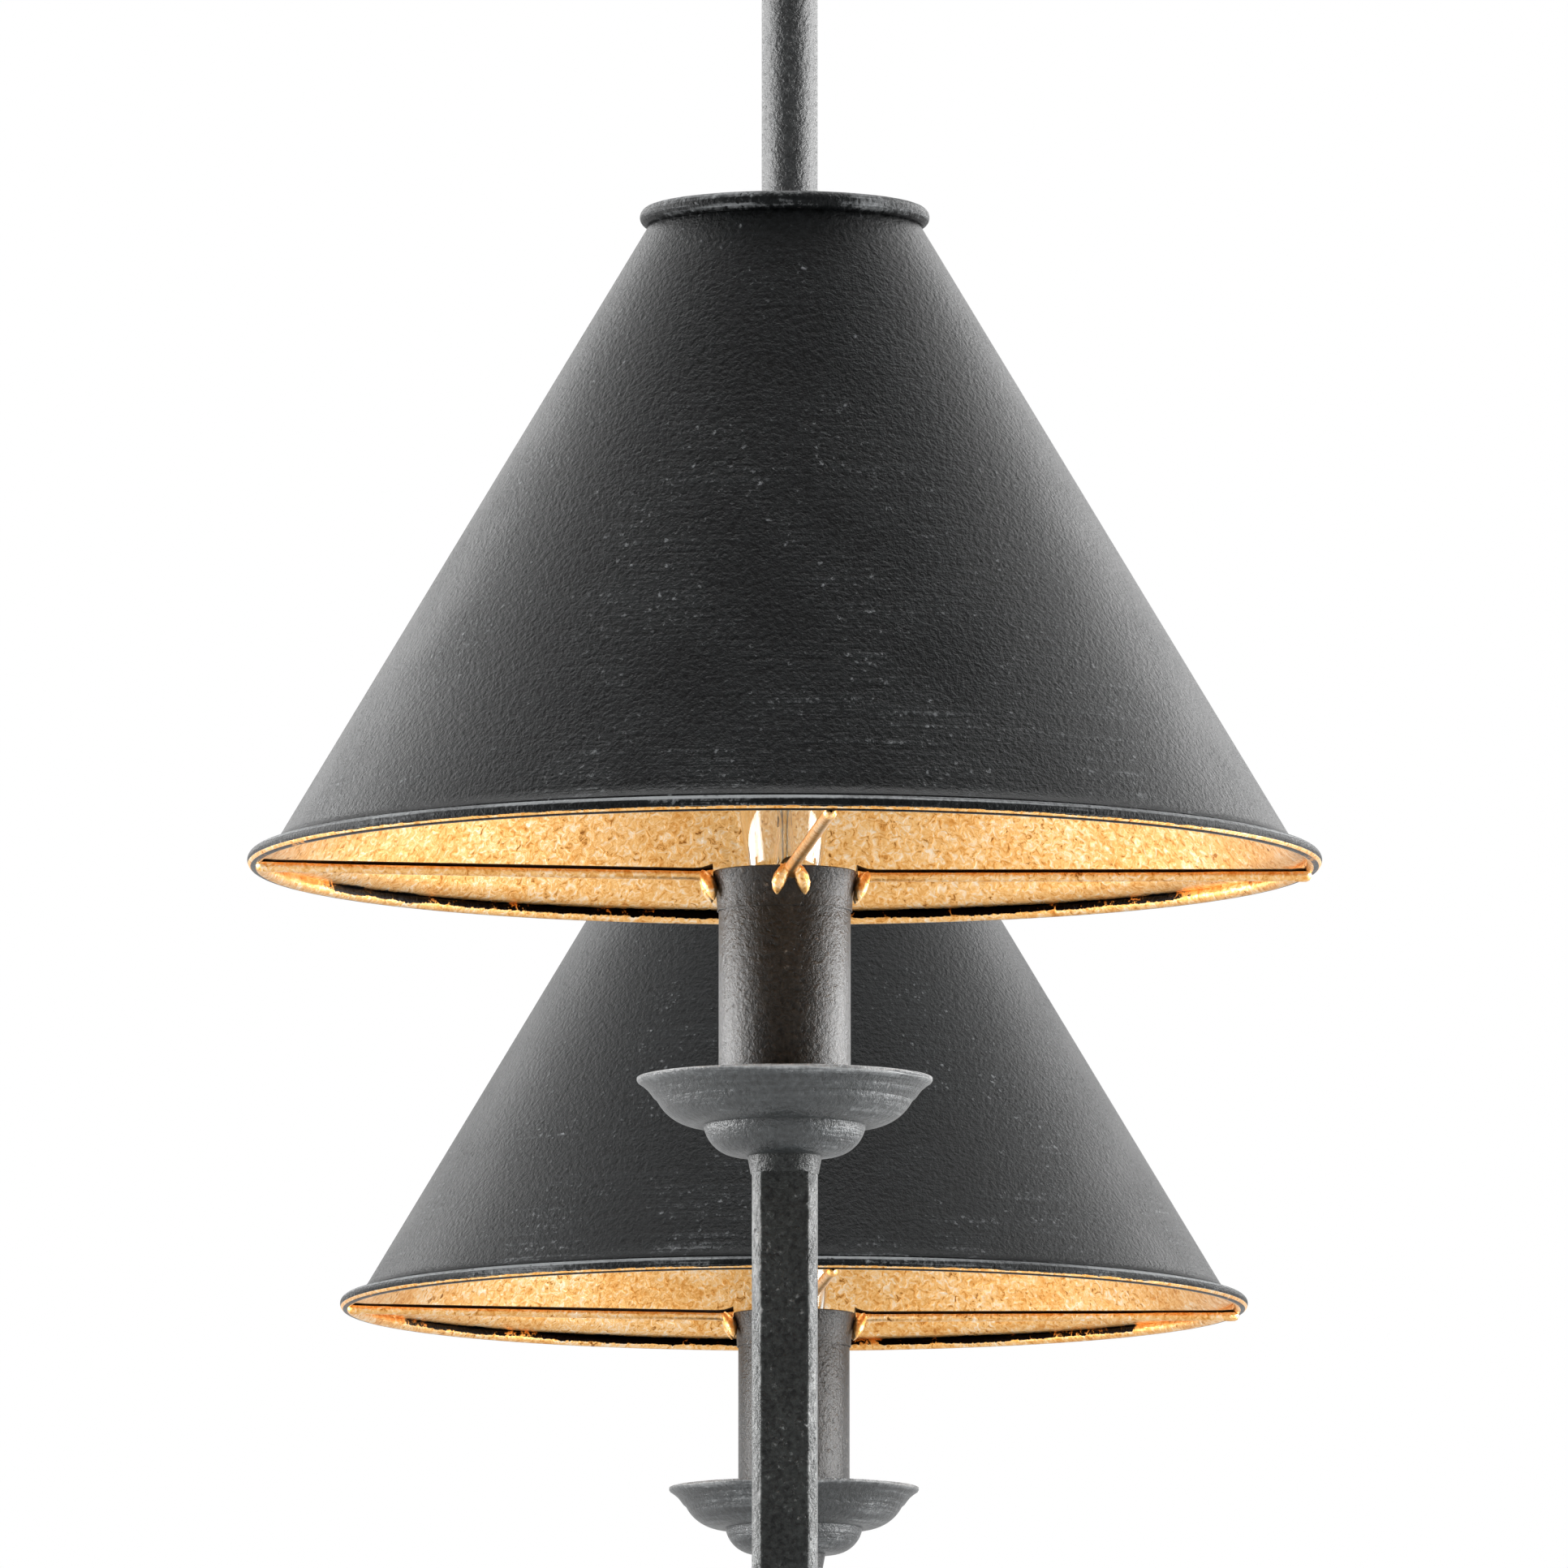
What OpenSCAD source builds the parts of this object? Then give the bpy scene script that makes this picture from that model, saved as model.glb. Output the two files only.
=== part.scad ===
// Linear chandelier: two cone-shaded candle lamps on a square-bar frame,
// hung from one stem with a swivel under a ceiling canopy.
// Millimetres. The origin is the centre of the canopy's rim, in the plane of the ceiling.
// +Z is up and the lamps stand in a row along X.

/* [Layout] */
// Distance between the axes of the two lamps
lamp_spacing = 1000; // [600:10:1600]
// Drop from the ceiling to the lower bead of the shades
rim_drop = 655; // [560:5:1400]
// Drop from the lower bead of the shades to the centre of the bar
bar_drop = 250; // [170:5:450]

/* [Shade] */
// Diameter over the lower bead
shade_d = 222; // [170:1:300]
// Diameter over the upper bead
shade_top_d = 60; // [50:1:90]
// Height from bead to bead
shade_h = 134; // [100:1:200]
// Thickness of the spun sheet
shade_wall = 1; // [0.6:0.1:1.4]
// Thickness of the lower bead
lower_bead_d = 3.2; // [2.4:0.1:6]
// Thickness of the upper bead
upper_bead_d = 3.8; // [2.6:0.1:5]
// Radius of the flare above the lower bead
flare_r = 5.5; // [4:0.5:12]

/* [Shade carrier] */
// Number of spider wires
wire_count = 4; // [3:1:6]
// Thickness of a spider wire
wire_d = 2.6; // [1.5:0.1:3]
// Turn of the carrier about the lamp's axis
carrier_turn = 5; // [0:1:20]
// Thickness of the lip that rests on the sleeve
lip_t = 1; // [0.8:0.1:2]
// Width of the lip's seat on the sleeve
lip_seat = 0.6; // [0.4:0.1:0.8]
// Height of the skirt below the lip
skirt_h = 7.2; // [6.4:0.1:12]
// Thickness of the skirt at its foot
skirt_foot_t = 0.6; // [0.4:0.1:1]
// Thickness of the skirt at its flared top
skirt_top_t = 1.3; // [1:0.1:2]

/* [Thumbscrew] */
// Diameter of the thumbscrew
thumb_d = 3; // [2:0.5:4]
// Reach of each wing from the screw's axis
wing_reach = 4; // [3.4:0.1:4.2]
// Thickness of the wings
wing_t = 1.4; // [1:0.1:2]
// Depth of the screw's axis below the carrier's top
thumb_drop = 4.7; // [4.6:0.1:5]
// Projection of the screw boss
boss_l = 2; // [1.5:0.1:4]

/* [Socket and bulb] */
// Diameter of the bulb's screw base
base_d = 11.7; // [10:0.1:16]
// Length of the bulb's screw base
base_l = 16; // [12:0.5:20]
// Thickness of the socket's screw shell
shell_t = 0.35; // [0.3:0.05:0.8]
// Wall of the moulded socket
socket_wall = 4; // [2.5:0.1:6]
// Length of the moulded socket
socket_l = 40; // [32:1:44]
// Thickness of the socket bracket
bracket_t = 1.2; // [0.8:0.1:1.8]
// Width of the socket bracket
bracket_w = 6; // [4:0.5:7]
// Space between the bulb and the carrier's lip
bulb_clear = 2; // [1.2:0.1:3]
// Height of the glass above the socket
bulb_h = 76; // [60:1:95]
// Height of the bulb's widest point above the socket
belly_h = 38; // [30:1:50]
// Thickness of the glass
glass_t = 0.8; // [0.5:0.1:1.2]
// Height of the filament cage inside the glass
filament_h = 34; // [24:1:44]

/* [Sleeve and cup] */
// Length of the candle sleeve
sleeve_l = 55; // [50:1:90]
// Wall of the candle sleeve
sleeve_wall = 1; // [0.8:0.1:1.6]
// Thickness of the spun cup
cup_wall = 1.2; // [0.8:0.1:1.6]
// Radius of the cup's upper lobe
cup_upper_r = 10; // [8:0.5:14]
// Radius of the cup's lower lobe
cup_lower_r = 7.4; // [7:0.1:10]
// Ledge between the two lobes
cup_step = 0.7; // [0.4:0.1:3]
// Overhang of the cup's lip
cup_lip = 3; // [1.5:0.5:6]
// Depth of the lip's slope
cup_lip_h = 3.4; // [2:0.2:5]

/* [Arms] */
// Width of the square bar
arm_w = 13.5; // [11:0.5:18]
// Chamfer along the bar's edges
arm_chamfer = 2; // [0.5:0.1:2.6]
// Wall of the bar
arm_wall = 1.6; // [1:0.1:2]
// Bend radius at the middle of the bar
bend_r = 45; // [25:1:90]
// Height of the collar between arm and cup
arm_collar_h = 3.7; // [2:0.1:10]
// Thickness of the wire inside an arm
arm_wire_d = 4.4; // [3:0.1:5]

/* [Stem] */
// Diameter of the stem
rod_d = 12.7; // [11:0.1:18]
// Wall of the stem
rod_wall = 1.3; // [1:0.1:2]
// Length of the upper rod
upper_rod_l = 305; // [150:5:380]
// Depth of the sockets that take the rods
rod_seat = 9; // [6:0.5:14]
// Wall of the coupling and of the swivel barrel
coupling_wall = 2; // [1.2:0.1:4]
// Web between the rods inside the coupling
coupling_web = 5; // [3:0.5:10]
// Wall of the threaded pipe
pipe_wall = 1.5; // [1:0.1:2]
// Height of the hexagon nuts
nut_h = 3.5; // [2.5:0.1:5]
// Thickness of the wire inside the stem
stem_wire_d = 5.2; // [3:0.1:6]

/* [Hub] */
// Diameter of the hub
hub_d = 50; // [44:1:70]
// Height of the hub above and below the bar
hub_cheek = 11; // [9:0.5:20]
// Diameter of the hub's wiring space
cavity_d = 26; // [24:0.5:30]
// Roof of the wiring space
hub_roof = 5; // [3:0.5:6]
// Height of the hub's cover
cover_h = 15; // [12:0.5:24]
// Diameter of the ball finial
finial_d = 18; // [15:0.5:26]
// Height of the ring at the foot of the stem
stem_ring_h = 12; // [6:0.5:20]
// Diameter of the screws that hold the arms
set_screw_d = 4; // [3:0.5:5]

/* [Ceiling canopy] */
// Depth of the canopy
canopy_h = 30; // [22:1:50]
// Thickness of the canopy
canopy_wall = 1.5; // [1:0.1:2.5]
// Radius of the canopy's corner
canopy_corner = 10; // [4:0.5:12]
// Space from the cap nuts to the canopy's rim
canopy_margin = 17; // [16:0.5:30]
// Nearer spacing of the ceiling box's screws
box_screw_near = 69.85; // [60:0.05:75]
// Farther spacing of the ceiling box's screws
box_screw_far = 88.9; // [85:0.05:110]
// Width of the slots for the box's screws
slot_w = 5; // [4:0.1:6]
// Distance from the end of a slot to a canopy stud
stud_margin = 6; // [5:0.5:12]
// Diameter of the canopy studs
stud_d = 4; // [3:0.5:5]
// Diameter of the canopy's cap nuts
cap_nut_d = 10; // [8:0.5:14]
// Width of the mounting strap
strap_w = 22; // [18:1:30]
// Thickness of the mounting strap
strap_t = 2.5; // [1.5:0.1:4]

/* [Swivel] */
// Thickness of the yoke's plate
yoke_t = 7; // [5:0.5:12]
// Thickness of the yoke's ears
ear_t = 4.2; // [3:0.1:7]
// Height of the stud's head under the yoke
head_t = 4; // [2.5:0.5:6]
// Free height above the swivel barrel
swivel_gap = 8; // [4:0.5:20]
// Length of the barrel below its pivot
barrel_l = 26; // [22:1:40]
// Diameter of the trunnion screws
trunnion_d = 5; // [3:0.5:6]

/* [Hidden] */
$fn = 64;
iron = "#2f3031";
gold = "#c8954e";
brass = "#b08a45";
steel = "#9a9c9e";

// Named clearances: running fits between moving pieces, seats of fixed ones
run_clear = 0.06;
seat_clear = 0.1;
slide_clear = 0.15;
side_gap = 0.3;
yoke_gap = 0.5;
eps = 0.5;

// Threaded pipes and their nuts
rod_bore = rod_d - 2 * rod_wall;
pipe_d = rod_bore - seat_clear;
pipe_bore = pipe_d - 2 * pipe_wall;
arm_bore = arm_w - 2 * arm_wall;
lamp_pipe_d = arm_bore - 2 * slide_clear;
lamp_pipe_bore = lamp_pipe_d - 2 * pipe_wall;
nut_rim = 2;
set_down = 2;

// Ceiling plate and swivel, from the ceiling down
strap_top = 0;
strap_bottom = strap_top - strap_t;
slot_spacing = (box_screw_near + box_screw_far) / 2;
slot_l = (box_screw_far - box_screw_near) / 2 + slot_w;
stud_spacing = box_screw_far + slot_w + 2 * stud_margin;
strap_l = stud_spacing + stud_d + 2 * stud_margin;
canopy_d = stud_spacing + 2 * canopy_margin;
cap_nut_seat = 3;
barrel_d = rod_d + 2 * coupling_wall;
ear_in = barrel_d / 2 + side_gap;
ear_out = ear_in + ear_t;
ear_w = barrel_d - set_down;
yoke_d = 2 * norm([ear_out, ear_w / 2]) + set_down;
yoke_top = -canopy_h - yoke_gap;
head_top = yoke_top - yoke_t - seat_clear;
pivot_z = head_top - head_t - swivel_gap - barrel_d / 2;
trunnion_head_d = trunnion_d + 4;
trunnion_head_t = 2.2;

// Stem
barrel_bottom = pivot_z - barrel_l;
upper_rod_top = barrel_bottom + rod_seat;
upper_rod_bottom = upper_rod_top - upper_rod_l;
coupling_d = rod_d + 2 * coupling_wall;
lower_rod_top = upper_rod_bottom - coupling_web;

// Hub
bar_z = -rim_drop - bar_drop;
hub_h = arm_w + 2 * hub_cheek;
hub_top = bar_z + hub_h / 2;
hub_bottom = bar_z - hub_h / 2;
cover_bottom = hub_bottom - cover_h;
hub_round = 3;
finial_neck_h = 3;
finial_seat = 8;
connector_r = (cavity_d - pipe_d) / 4 - 0.7;
connector_h = 13;

// Lamp, measured from the centre of the shade's lower bead
lamp_x = lamp_spacing / 2;
rim_z = -rim_drop;
carrier_top = -2.3;
wire_in_z = carrier_top - 0.6;
wire_out_z = -1.9;
sleeve_top = carrier_top - lip_t - seat_clear / 2;
shell_bore = base_d + 2 * side_gap;
shell_d = shell_bore + 2 * shell_t;
socket_bore = shell_d + seat_clear;
socket_d = socket_bore + 2 * socket_wall;
bracket_in = socket_d / 2 + 2 * seat_clear;
sleeve_bore = 2 * norm([bracket_in + bracket_t, bracket_w / 2]) + 2 * side_gap;
sleeve_d = sleeve_bore + 2 * sleeve_wall;
lip_r = sleeve_d / 2 - lip_seat;
skirt_in = sleeve_d / 2 + slide_clear;
bulb_d = 2 * (lip_r - bulb_clear);
socket_recess = 1.7;
socket_top = sleeve_top - socket_recess;
socket_bottom = socket_top - socket_l;
screw_depth = base_l + 4;
contact_h = 1.5;
contact_gap = 0.2;

// Cup: the sleeve stands inside the lower lobe
sleeve_inset = 4.2;
lower_x = sleeve_d / 2 - sleeve_inset;
upper_x = lower_x + cup_lower_r + cup_step;
lower_z = -(cup_upper_r - cup_wall);
cup_h = cup_lower_r - lower_z;
sleeve_foot = lower_z - sqrt(pow(cup_lower_r - cup_wall, 2) - pow(sleeve_inset, 2)) + seat_clear;
cup_rim = sleeve_top - sleeve_l - sleeve_foot;
cup_bottom = cup_rim - cup_h;
cup_floor = cup_bottom + cup_wall;
arm_top = cup_bottom - arm_collar_h;
bracket_z = cup_floor + nut_h;
pipe_grip = 14;
lamp_pipe_top = bracket_z + bracket_t + 1;

// Shade: the wall runs up the inner side of the upper bead and meets the flare as a tangent
bead_r = lower_bead_d / 2;
bead_x = shade_d / 2 - bead_r;
top_x = (shade_top_d - upper_bead_d) / 2;
bead_lap = 0.4;
flare_c = [bead_x - bead_lap, bead_r + bead_lap + flare_r];
flare_mid = flare_r + shade_wall / 2;
crown_mid = (upper_bead_d - shade_wall) / 2;
to_flare = flare_c - [top_x, shade_h];
wall_angle = atan2(to_flare.y, to_flare.x) - asin((flare_mid - crown_mid) / norm(to_flare));
wall_normal = [-sin(wall_angle), cos(wall_angle)];
wall_foot = flare_c - flare_mid * wall_normal;

// Thumbscrew, on the side of the carrier that faces the stem, beside the wire so that its wings turn free
boss_r = thumb_d / 2 + 1.1;
boss_end = skirt_in + skirt_top_t + boss_l;
thumb_tip = sleeve_d / 2 + side_gap;
thumb_z = carrier_top - thumb_drop;
thumb_turn = carrier_turn + 166;
wing_lobe_r = 1.7;
wing_droop = 28;

// Shared shapes

// A tube or a bored rod between two heights
module tube(d, bore, low, high) {
    difference() {
        translate([0, 0, low]) cylinder(d = d, h = high - low);
        translate([0, 0, low - eps]) cylinder(d = bore, h = high - low + 2 * eps);
    }
}

// A hexagon nut with its hole, its lower face at z = 0
module hex_nut(hole_d) {
    difference() {
        cylinder(d = (hole_d + 2 * nut_rim) / cos(30), h = nut_h, $fn = 6);
        translate([0, 0, -eps]) cylinder(d = hole_d + seat_clear, h = nut_h + 2 * eps);
    }
}

// A quarter disc that hangs below and outside its centre
module lobe(x, z, r) {
    translate([x, z]) intersection() {
        circle(r = r);
        translate([0, -r]) square(r);
    }
}

// One of the two lamps' places: side is -1 on the left and 1 on the right, +X faces outwards
module lamp_place(side) {
    translate([side * lamp_x, 0, rim_z]) rotate([0, 0, side > 0 ? 0 : 180]) children();
}

// The bar's cross-section, with its edges chamfered
module bar_section(w, chamfer) {
    half = w / 2;
    flat = half - chamfer;
    polygon([[half, -flat], [half, flat], [flat, half], [-flat, half],
             [-half, flat], [-half, -flat], [-flat, -half], [flat, -half]]);
}

// Sweeps a section from the hub along the bar, round the bend and up to a height, on the right
module arm_sweep(start_x, end_z) {
    bend_x = lamp_x - bend_r;
    bend_z = bar_z + bend_r;
    translate([start_x, 0, bar_z]) rotate([90, 0, 90]) linear_extrude(bend_x - start_x) children();
    translate([bend_x, 0, bend_z]) rotate([90, 0, 0]) rotate([0, 0, -90])
        rotate_extrude(angle = 90) translate([bend_r, 0]) children();
    translate([lamp_x, 0, bend_z]) linear_extrude(end_z - bend_z) children();
}

// Ceiling plate and canopy

module crossbar() {
    color(steel) difference() {
        translate([-strap_l / 2, -strap_w / 2, strap_bottom]) cube([strap_l, strap_w, strap_t]);
        translate([0, 0, strap_bottom - eps]) cylinder(d = pipe_d + seat_clear, h = strap_t + 2 * eps);
        for (side = [-1, 1]) {
            translate([side * slot_spacing / 2, 0, strap_bottom - eps]) box_slot();
            translate([side * stud_spacing / 2, 0, strap_bottom - eps])
                cylinder(d = stud_d + seat_clear, h = strap_t + 2 * eps);
        }
    }
}

module box_slot() {
    reach = (slot_l - slot_w) / 2;
    linear_extrude(strap_t + 2 * eps) {
        square([2 * reach, slot_w], center = true);
        for (end = [-reach, reach]) translate([end, 0]) circle(d = slot_w);
    }
}

module swivel_stud() {
    color(steel) {
        tube(pipe_d, pipe_bore, head_top, strap_top);
        tube(2 * (ear_in - slide_clear), pipe_bore, head_top - head_t, head_top);
    }
}

module stud_locknut() {
    color(steel) translate([0, 0, strap_bottom - nut_h]) hex_nut(pipe_d);
}

module canopy_section(inset, rise) {
    r = canopy_d / 2 - inset;
    corner = canopy_corner - inset;
    floor_z = -canopy_h + inset;
    translate([0, floor_z]) square([r - corner, rise - floor_z]);
    translate([0, floor_z + corner]) square([r, rise - floor_z - corner]);
    lobe(r - corner, floor_z + corner, corner);
}

module canopy() {
    color(iron) difference() {
        rotate_extrude() difference() {
            canopy_section(0, 0);
            canopy_section(canopy_wall, eps);
        }
        translate([0, 0, -canopy_h - eps]) cylinder(d = pipe_d + 2 * side_gap, h = canopy_wall + 2 * eps);
        for (side = [-1, 1]) translate([side * stud_spacing / 2, 0, -canopy_h - eps])
            cylinder(d = stud_d + seat_clear, h = canopy_wall + 2 * eps);
    }
}

module canopy_studs() {
    length = canopy_h + cap_nut_seat + strap_top;
    color(steel) for (side = [-1, 1])
        translate([side * stud_spacing / 2, 0, strap_top - length]) cylinder(d = stud_d, h = length);
}

module canopy_cap_nuts() {
    neck_h = cap_nut_d / 2;
    color(iron) for (side = [-1, 1]) translate([side * stud_spacing / 2, 0, -canopy_h]) difference() {
        union() {
            translate([0, 0, -neck_h]) cylinder(d = cap_nut_d, h = neck_h);
            translate([0, 0, -neck_h]) sphere(d = cap_nut_d);
        }
        translate([0, 0, -cap_nut_seat - seat_clear]) cylinder(d = stud_d + seat_clear, h = cap_nut_seat + eps);
    }
}

module ground_screw() {
    screw_x = (pipe_d / 2 + slot_spacing / 2 - slot_l / 2) / 2 + nut_rim;
    color("#2f7d3a") translate([-screw_x, 0, strap_bottom]) {
        translate([0, 0, -2.4]) cylinder(d = 7, h = 2.4);
        translate([0, 0, -6]) cylinder(d = stud_d, h = 4);
    }
}

// Swivel

module swivel_yoke() {
    color(iron) difference() {
        union() {
            translate([0, 0, yoke_top - yoke_t]) cylinder(d = yoke_d, h = yoke_t);
            for (side = [-1, 1]) translate([side > 0 ? ear_in : -ear_out, 0, 0])
                rotate([90, 0, 90]) linear_extrude(ear_t) {
                    translate([0, pivot_z]) circle(d = ear_w);
                    translate([-ear_w / 2, pivot_z]) square([ear_w, yoke_top - pivot_z]);
                }
        }
        translate([0, 0, yoke_top - yoke_t - eps])
            cylinder(d = pipe_d + 2 * run_clear, h = yoke_t + 2 * eps);
        translate([-ear_out - eps, 0, pivot_z]) rotate([0, 90, 0])
            cylinder(d = trunnion_d + seat_clear, h = 2 * (ear_out + eps));
    }
}

module swivel_screws() {
    tip = pipe_bore / 2 + slide_clear;
    color(brass) for (side = [0, 180]) rotate([0, 0, side]) translate([0, 0, pivot_z]) rotate([0, 90, 0]) {
        translate([0, 0, tip]) cylinder(d = trunnion_d, h = ear_out - tip);
        difference() {
            translate([0, 0, ear_out]) cylinder(d = trunnion_head_d, h = trunnion_head_t);
            translate([-trunnion_head_d, -0.5, ear_out + trunnion_head_t - 1]) cube([2 * trunnion_head_d, 1, 2]);
        }
    }
}

module swivel_barrel() {
    color(iron) difference() {
        union() {
            translate([0, 0, pivot_z]) sphere(d = barrel_d);
            translate([0, 0, barrel_bottom]) cylinder(d = barrel_d, h = barrel_l);
        }
        translate([0, 0, barrel_bottom - eps]) cylinder(d = pipe_bore, h = barrel_l + barrel_d);
        translate([0, 0, barrel_bottom - eps]) cylinder(d = rod_d + seat_clear, h = rod_seat + eps);
        translate([-barrel_d, 0, pivot_z]) rotate([0, 90, 0])
            cylinder(d = trunnion_d + 2 * run_clear, h = 2 * barrel_d);
    }
}

// Stem

module upper_rod() {
    color(iron) tube(rod_d, rod_bore, upper_rod_bottom, upper_rod_top);
}

module lower_rod() {
    color(iron) tube(rod_d, rod_bore, hub_top, lower_rod_top);
}

module rod_coupling() {
    bevel = coupling_wall / 2;
    top = upper_rod_bottom + rod_seat;
    bottom = lower_rod_top - rod_seat;
    r = coupling_d / 2;
    color(iron) difference() {
        rotate_extrude() polygon([[0, bottom], [r - bevel, bottom], [r, bottom + bevel],
                                  [r, top - bevel], [r - bevel, top], [0, top]]);
        translate([0, 0, upper_rod_bottom]) cylinder(d = rod_d + seat_clear, h = rod_seat + eps);
        translate([0, 0, bottom - eps]) cylinder(d = rod_d + seat_clear, h = rod_seat + eps);
        translate([0, 0, bottom]) cylinder(d = pipe_bore, h = top - bottom);
    }
}

module stem_wire() {
    top = pivot_z - trunnion_d;
    color("#d8d4c8") translate([0, 0, bar_z]) cylinder(d = stem_wire_d, h = top - bar_z);
}

// Hub

module stem_ring() {
    foot_r = coupling_d / 2 + stem_ring_h / 3;
    cove_r = stem_ring_h * 0.75;
    neck_r = coupling_d / 2 - coupling_wall / 2;
    color(iron) translate([0, 0, hub_top]) rotate_extrude() difference() {
        translate([rod_d / 2 + seat_clear / 2, 0]) square([foot_r - rod_d / 2 - seat_clear / 2, stem_ring_h]);
        translate([neck_r + cove_r, stem_ring_h]) circle(r = cove_r);
    }
}

module hub_body() {
    r = hub_d / 2;
    color(iron) difference() {
        rotate_extrude() {
            translate([0, hub_bottom]) square([r, hub_h - hub_round]);
            translate([0, hub_bottom]) square([r - hub_round, hub_h]);
            translate([r - hub_round, hub_top - hub_round]) circle(r = hub_round);
        }
        translate([0, 0, hub_bottom - eps]) cylinder(d = cavity_d, h = hub_h - hub_roof + eps);
        translate([0, 0, hub_bottom]) cylinder(d = pipe_d + seat_clear, h = hub_h + eps);
        translate([-hub_d, 0, bar_z]) rotate([90, 0, 90]) linear_extrude(2 * hub_d)
            bar_section(arm_w + 2 * seat_clear, arm_chamfer);
        for (side = [-1, 1]) translate([side * (hub_d + cavity_d) / 4, 0, bar_z])
            cylinder(d = set_screw_d + seat_clear, h = hub_h);
    }
}

module arm_set_screws() {
    low = bar_z + arm_w / 2 + seat_clear / 2;
    high = hub_top - 0.5;
    socket_depth = 2.5;
    color(steel) for (side = [-1, 1]) translate([side * (hub_d + cavity_d) / 4, 0, 0]) difference() {
        translate([0, 0, low]) cylinder(d = set_screw_d, h = high - low);
        translate([0, 0, high - socket_depth]) cylinder(d = set_screw_d / 2, h = socket_depth + eps, $fn = 6);
    }
}

module hub_pipe() {
    window_d = pipe_bore - 1;
    color(steel) difference() {
        tube(pipe_d, pipe_bore, cover_bottom - finial_seat, hub_top + pipe_grip);
        translate([0, -pipe_d, bar_z]) rotate([-90, 0, 0]) cylinder(d = window_d, h = 2 * pipe_d);
    }
}

module hub_locknut() {
    color(steel) translate([0, 0, hub_top - hub_roof - nut_h]) hex_nut(pipe_d);
}

module hub_cover() {
    upper_r = cover_h * 0.6;
    lower_r = cover_h * 0.4;
    ledge = 1;
    upper_cx = hub_d / 2 - upper_r;
    lower_cx = upper_cx - ledge;
    color(iron) difference() {
        translate([0, 0, hub_bottom]) rotate_extrude() {
            translate([0, -upper_r]) square([upper_cx, upper_r]);
            lobe(upper_cx, 0, upper_r);
            translate([0, -cover_h]) square([lower_cx - lower_r, lower_r]);
            lobe(lower_cx - lower_r, -upper_r, lower_r);
        }
        translate([0, 0, cover_bottom - eps]) cylinder(d = pipe_d + seat_clear, h = cover_h + 2 * eps);
    }
}

module finial() {
    neck_d = finial_d * 0.8;
    ball_z = cover_bottom - finial_neck_h - finial_d * 0.4;
    color(iron) difference() {
        union() {
            translate([0, 0, cover_bottom - finial_neck_h]) cylinder(d = neck_d, h = finial_neck_h);
            translate([0, 0, ball_z]) sphere(d = finial_d);
        }
        translate([0, 0, cover_bottom - finial_seat - seat_clear])
            cylinder(d = pipe_d + seat_clear, h = finial_seat + 2 * seat_clear);
    }
}

module wire_connectors() {
    color("#d9b23a") for (side = [-1, 1])
        translate([0, side * (cavity_d + pipe_d) / 4, hub_bottom + seat_clear])
            cylinder(r1 = connector_r, r2 = connector_r * 0.6, h = connector_h);
}

// Arms

module arm(side) {
    color(iron) mirror([side < 0 ? 1 : 0, 0, 0])
        arm_sweep(cavity_d / 2, rim_z + arm_top) difference() {
            bar_section(arm_w, arm_chamfer);
            square(arm_bore, center = true);
        }
}

module arm_wire(side) {
    start_x = (cavity_d + pipe_d) / 4;
    color("#d8d4c8") mirror([side < 0 ? 1 : 0, 0, 0])
        arm_sweep(start_x, rim_z + socket_bottom) circle(d = arm_wire_d);
}

module arm_collar(side) {
    foot_r = arm_w / 2 + 0.25;
    crown_r = foot_r + 0.7;
    color(iron) lamp_place(side) translate([0, 0, arm_top]) difference() {
        cylinder(r1 = foot_r, r2 = crown_r, h = arm_collar_h);
        translate([0, 0, -eps]) cylinder(d = lamp_pipe_d + seat_clear, h = arm_collar_h + 2 * eps);
    }
}

// Lamp: cup, socket and sleeve

module lamp_pipe(side) {
    color(steel) lamp_place(side) tube(lamp_pipe_d, lamp_pipe_bore, arm_top - pipe_grip, lamp_pipe_top);
}

module cup_section(inset, rise) {
    upper_r = cup_upper_r - inset;
    lower_r = cup_lower_r - inset;
    translate([0, -upper_r]) square([upper_x, upper_r]);
    lobe(upper_x, 0, upper_r);
    if (rise > 0) square([upper_x + upper_r, rise]);
    translate([0, lower_z - lower_r]) square([lower_x, lower_r]);
    lobe(lower_x, lower_z, lower_r);
}

module cup(side) {
    lip_x = upper_x + sqrt(pow(cup_upper_r, 2) - pow(cup_lip_h, 2));
    tip_x = upper_x + cup_upper_r + cup_lip;
    tip_t = 0.8;
    color(iron) lamp_place(side) translate([0, 0, cup_rim]) difference() {
        rotate_extrude() difference() {
            union() {
                cup_section(0, 0);
                polygon([[upper_x, 0], [lip_x - cup_wall, -cup_lip_h], [lip_x, -cup_lip_h],
                         [tip_x, -tip_t], [tip_x, 0]]);
            }
            cup_section(cup_wall, eps);
        }
        translate([0, 0, -cup_h - eps]) cylinder(d = lamp_pipe_d + seat_clear, h = cup_wall + 2 * eps);
    }
}

module cup_locknuts() {
    color(steel) for (side = [-1, 1]) lamp_place(side) translate([0, 0, cup_floor]) hex_nut(lamp_pipe_d);
}

module socket_bracket(side) {
    foot_w = lamp_pipe_d + 2 * nut_rim;
    leg_top = socket_bottom + socket_l / 4;
    color(steel) lamp_place(side) translate([0, 0, bracket_z]) difference() {
        union() {
            cylinder(d = foot_w, h = bracket_t);
            translate([-bracket_in - bracket_t, -bracket_w / 2, 0])
                cube([2 * (bracket_in + bracket_t), bracket_w, bracket_t]);
            for (leg_x = [-bracket_in - bracket_t, bracket_in]) translate([leg_x, -bracket_w / 2, 0])
                cube([bracket_t, bracket_w, leg_top - bracket_z]);
        }
        translate([0, 0, -eps]) cylinder(d = lamp_pipe_d + seat_clear, h = bracket_t + 2 * eps);
    }
}

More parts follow.
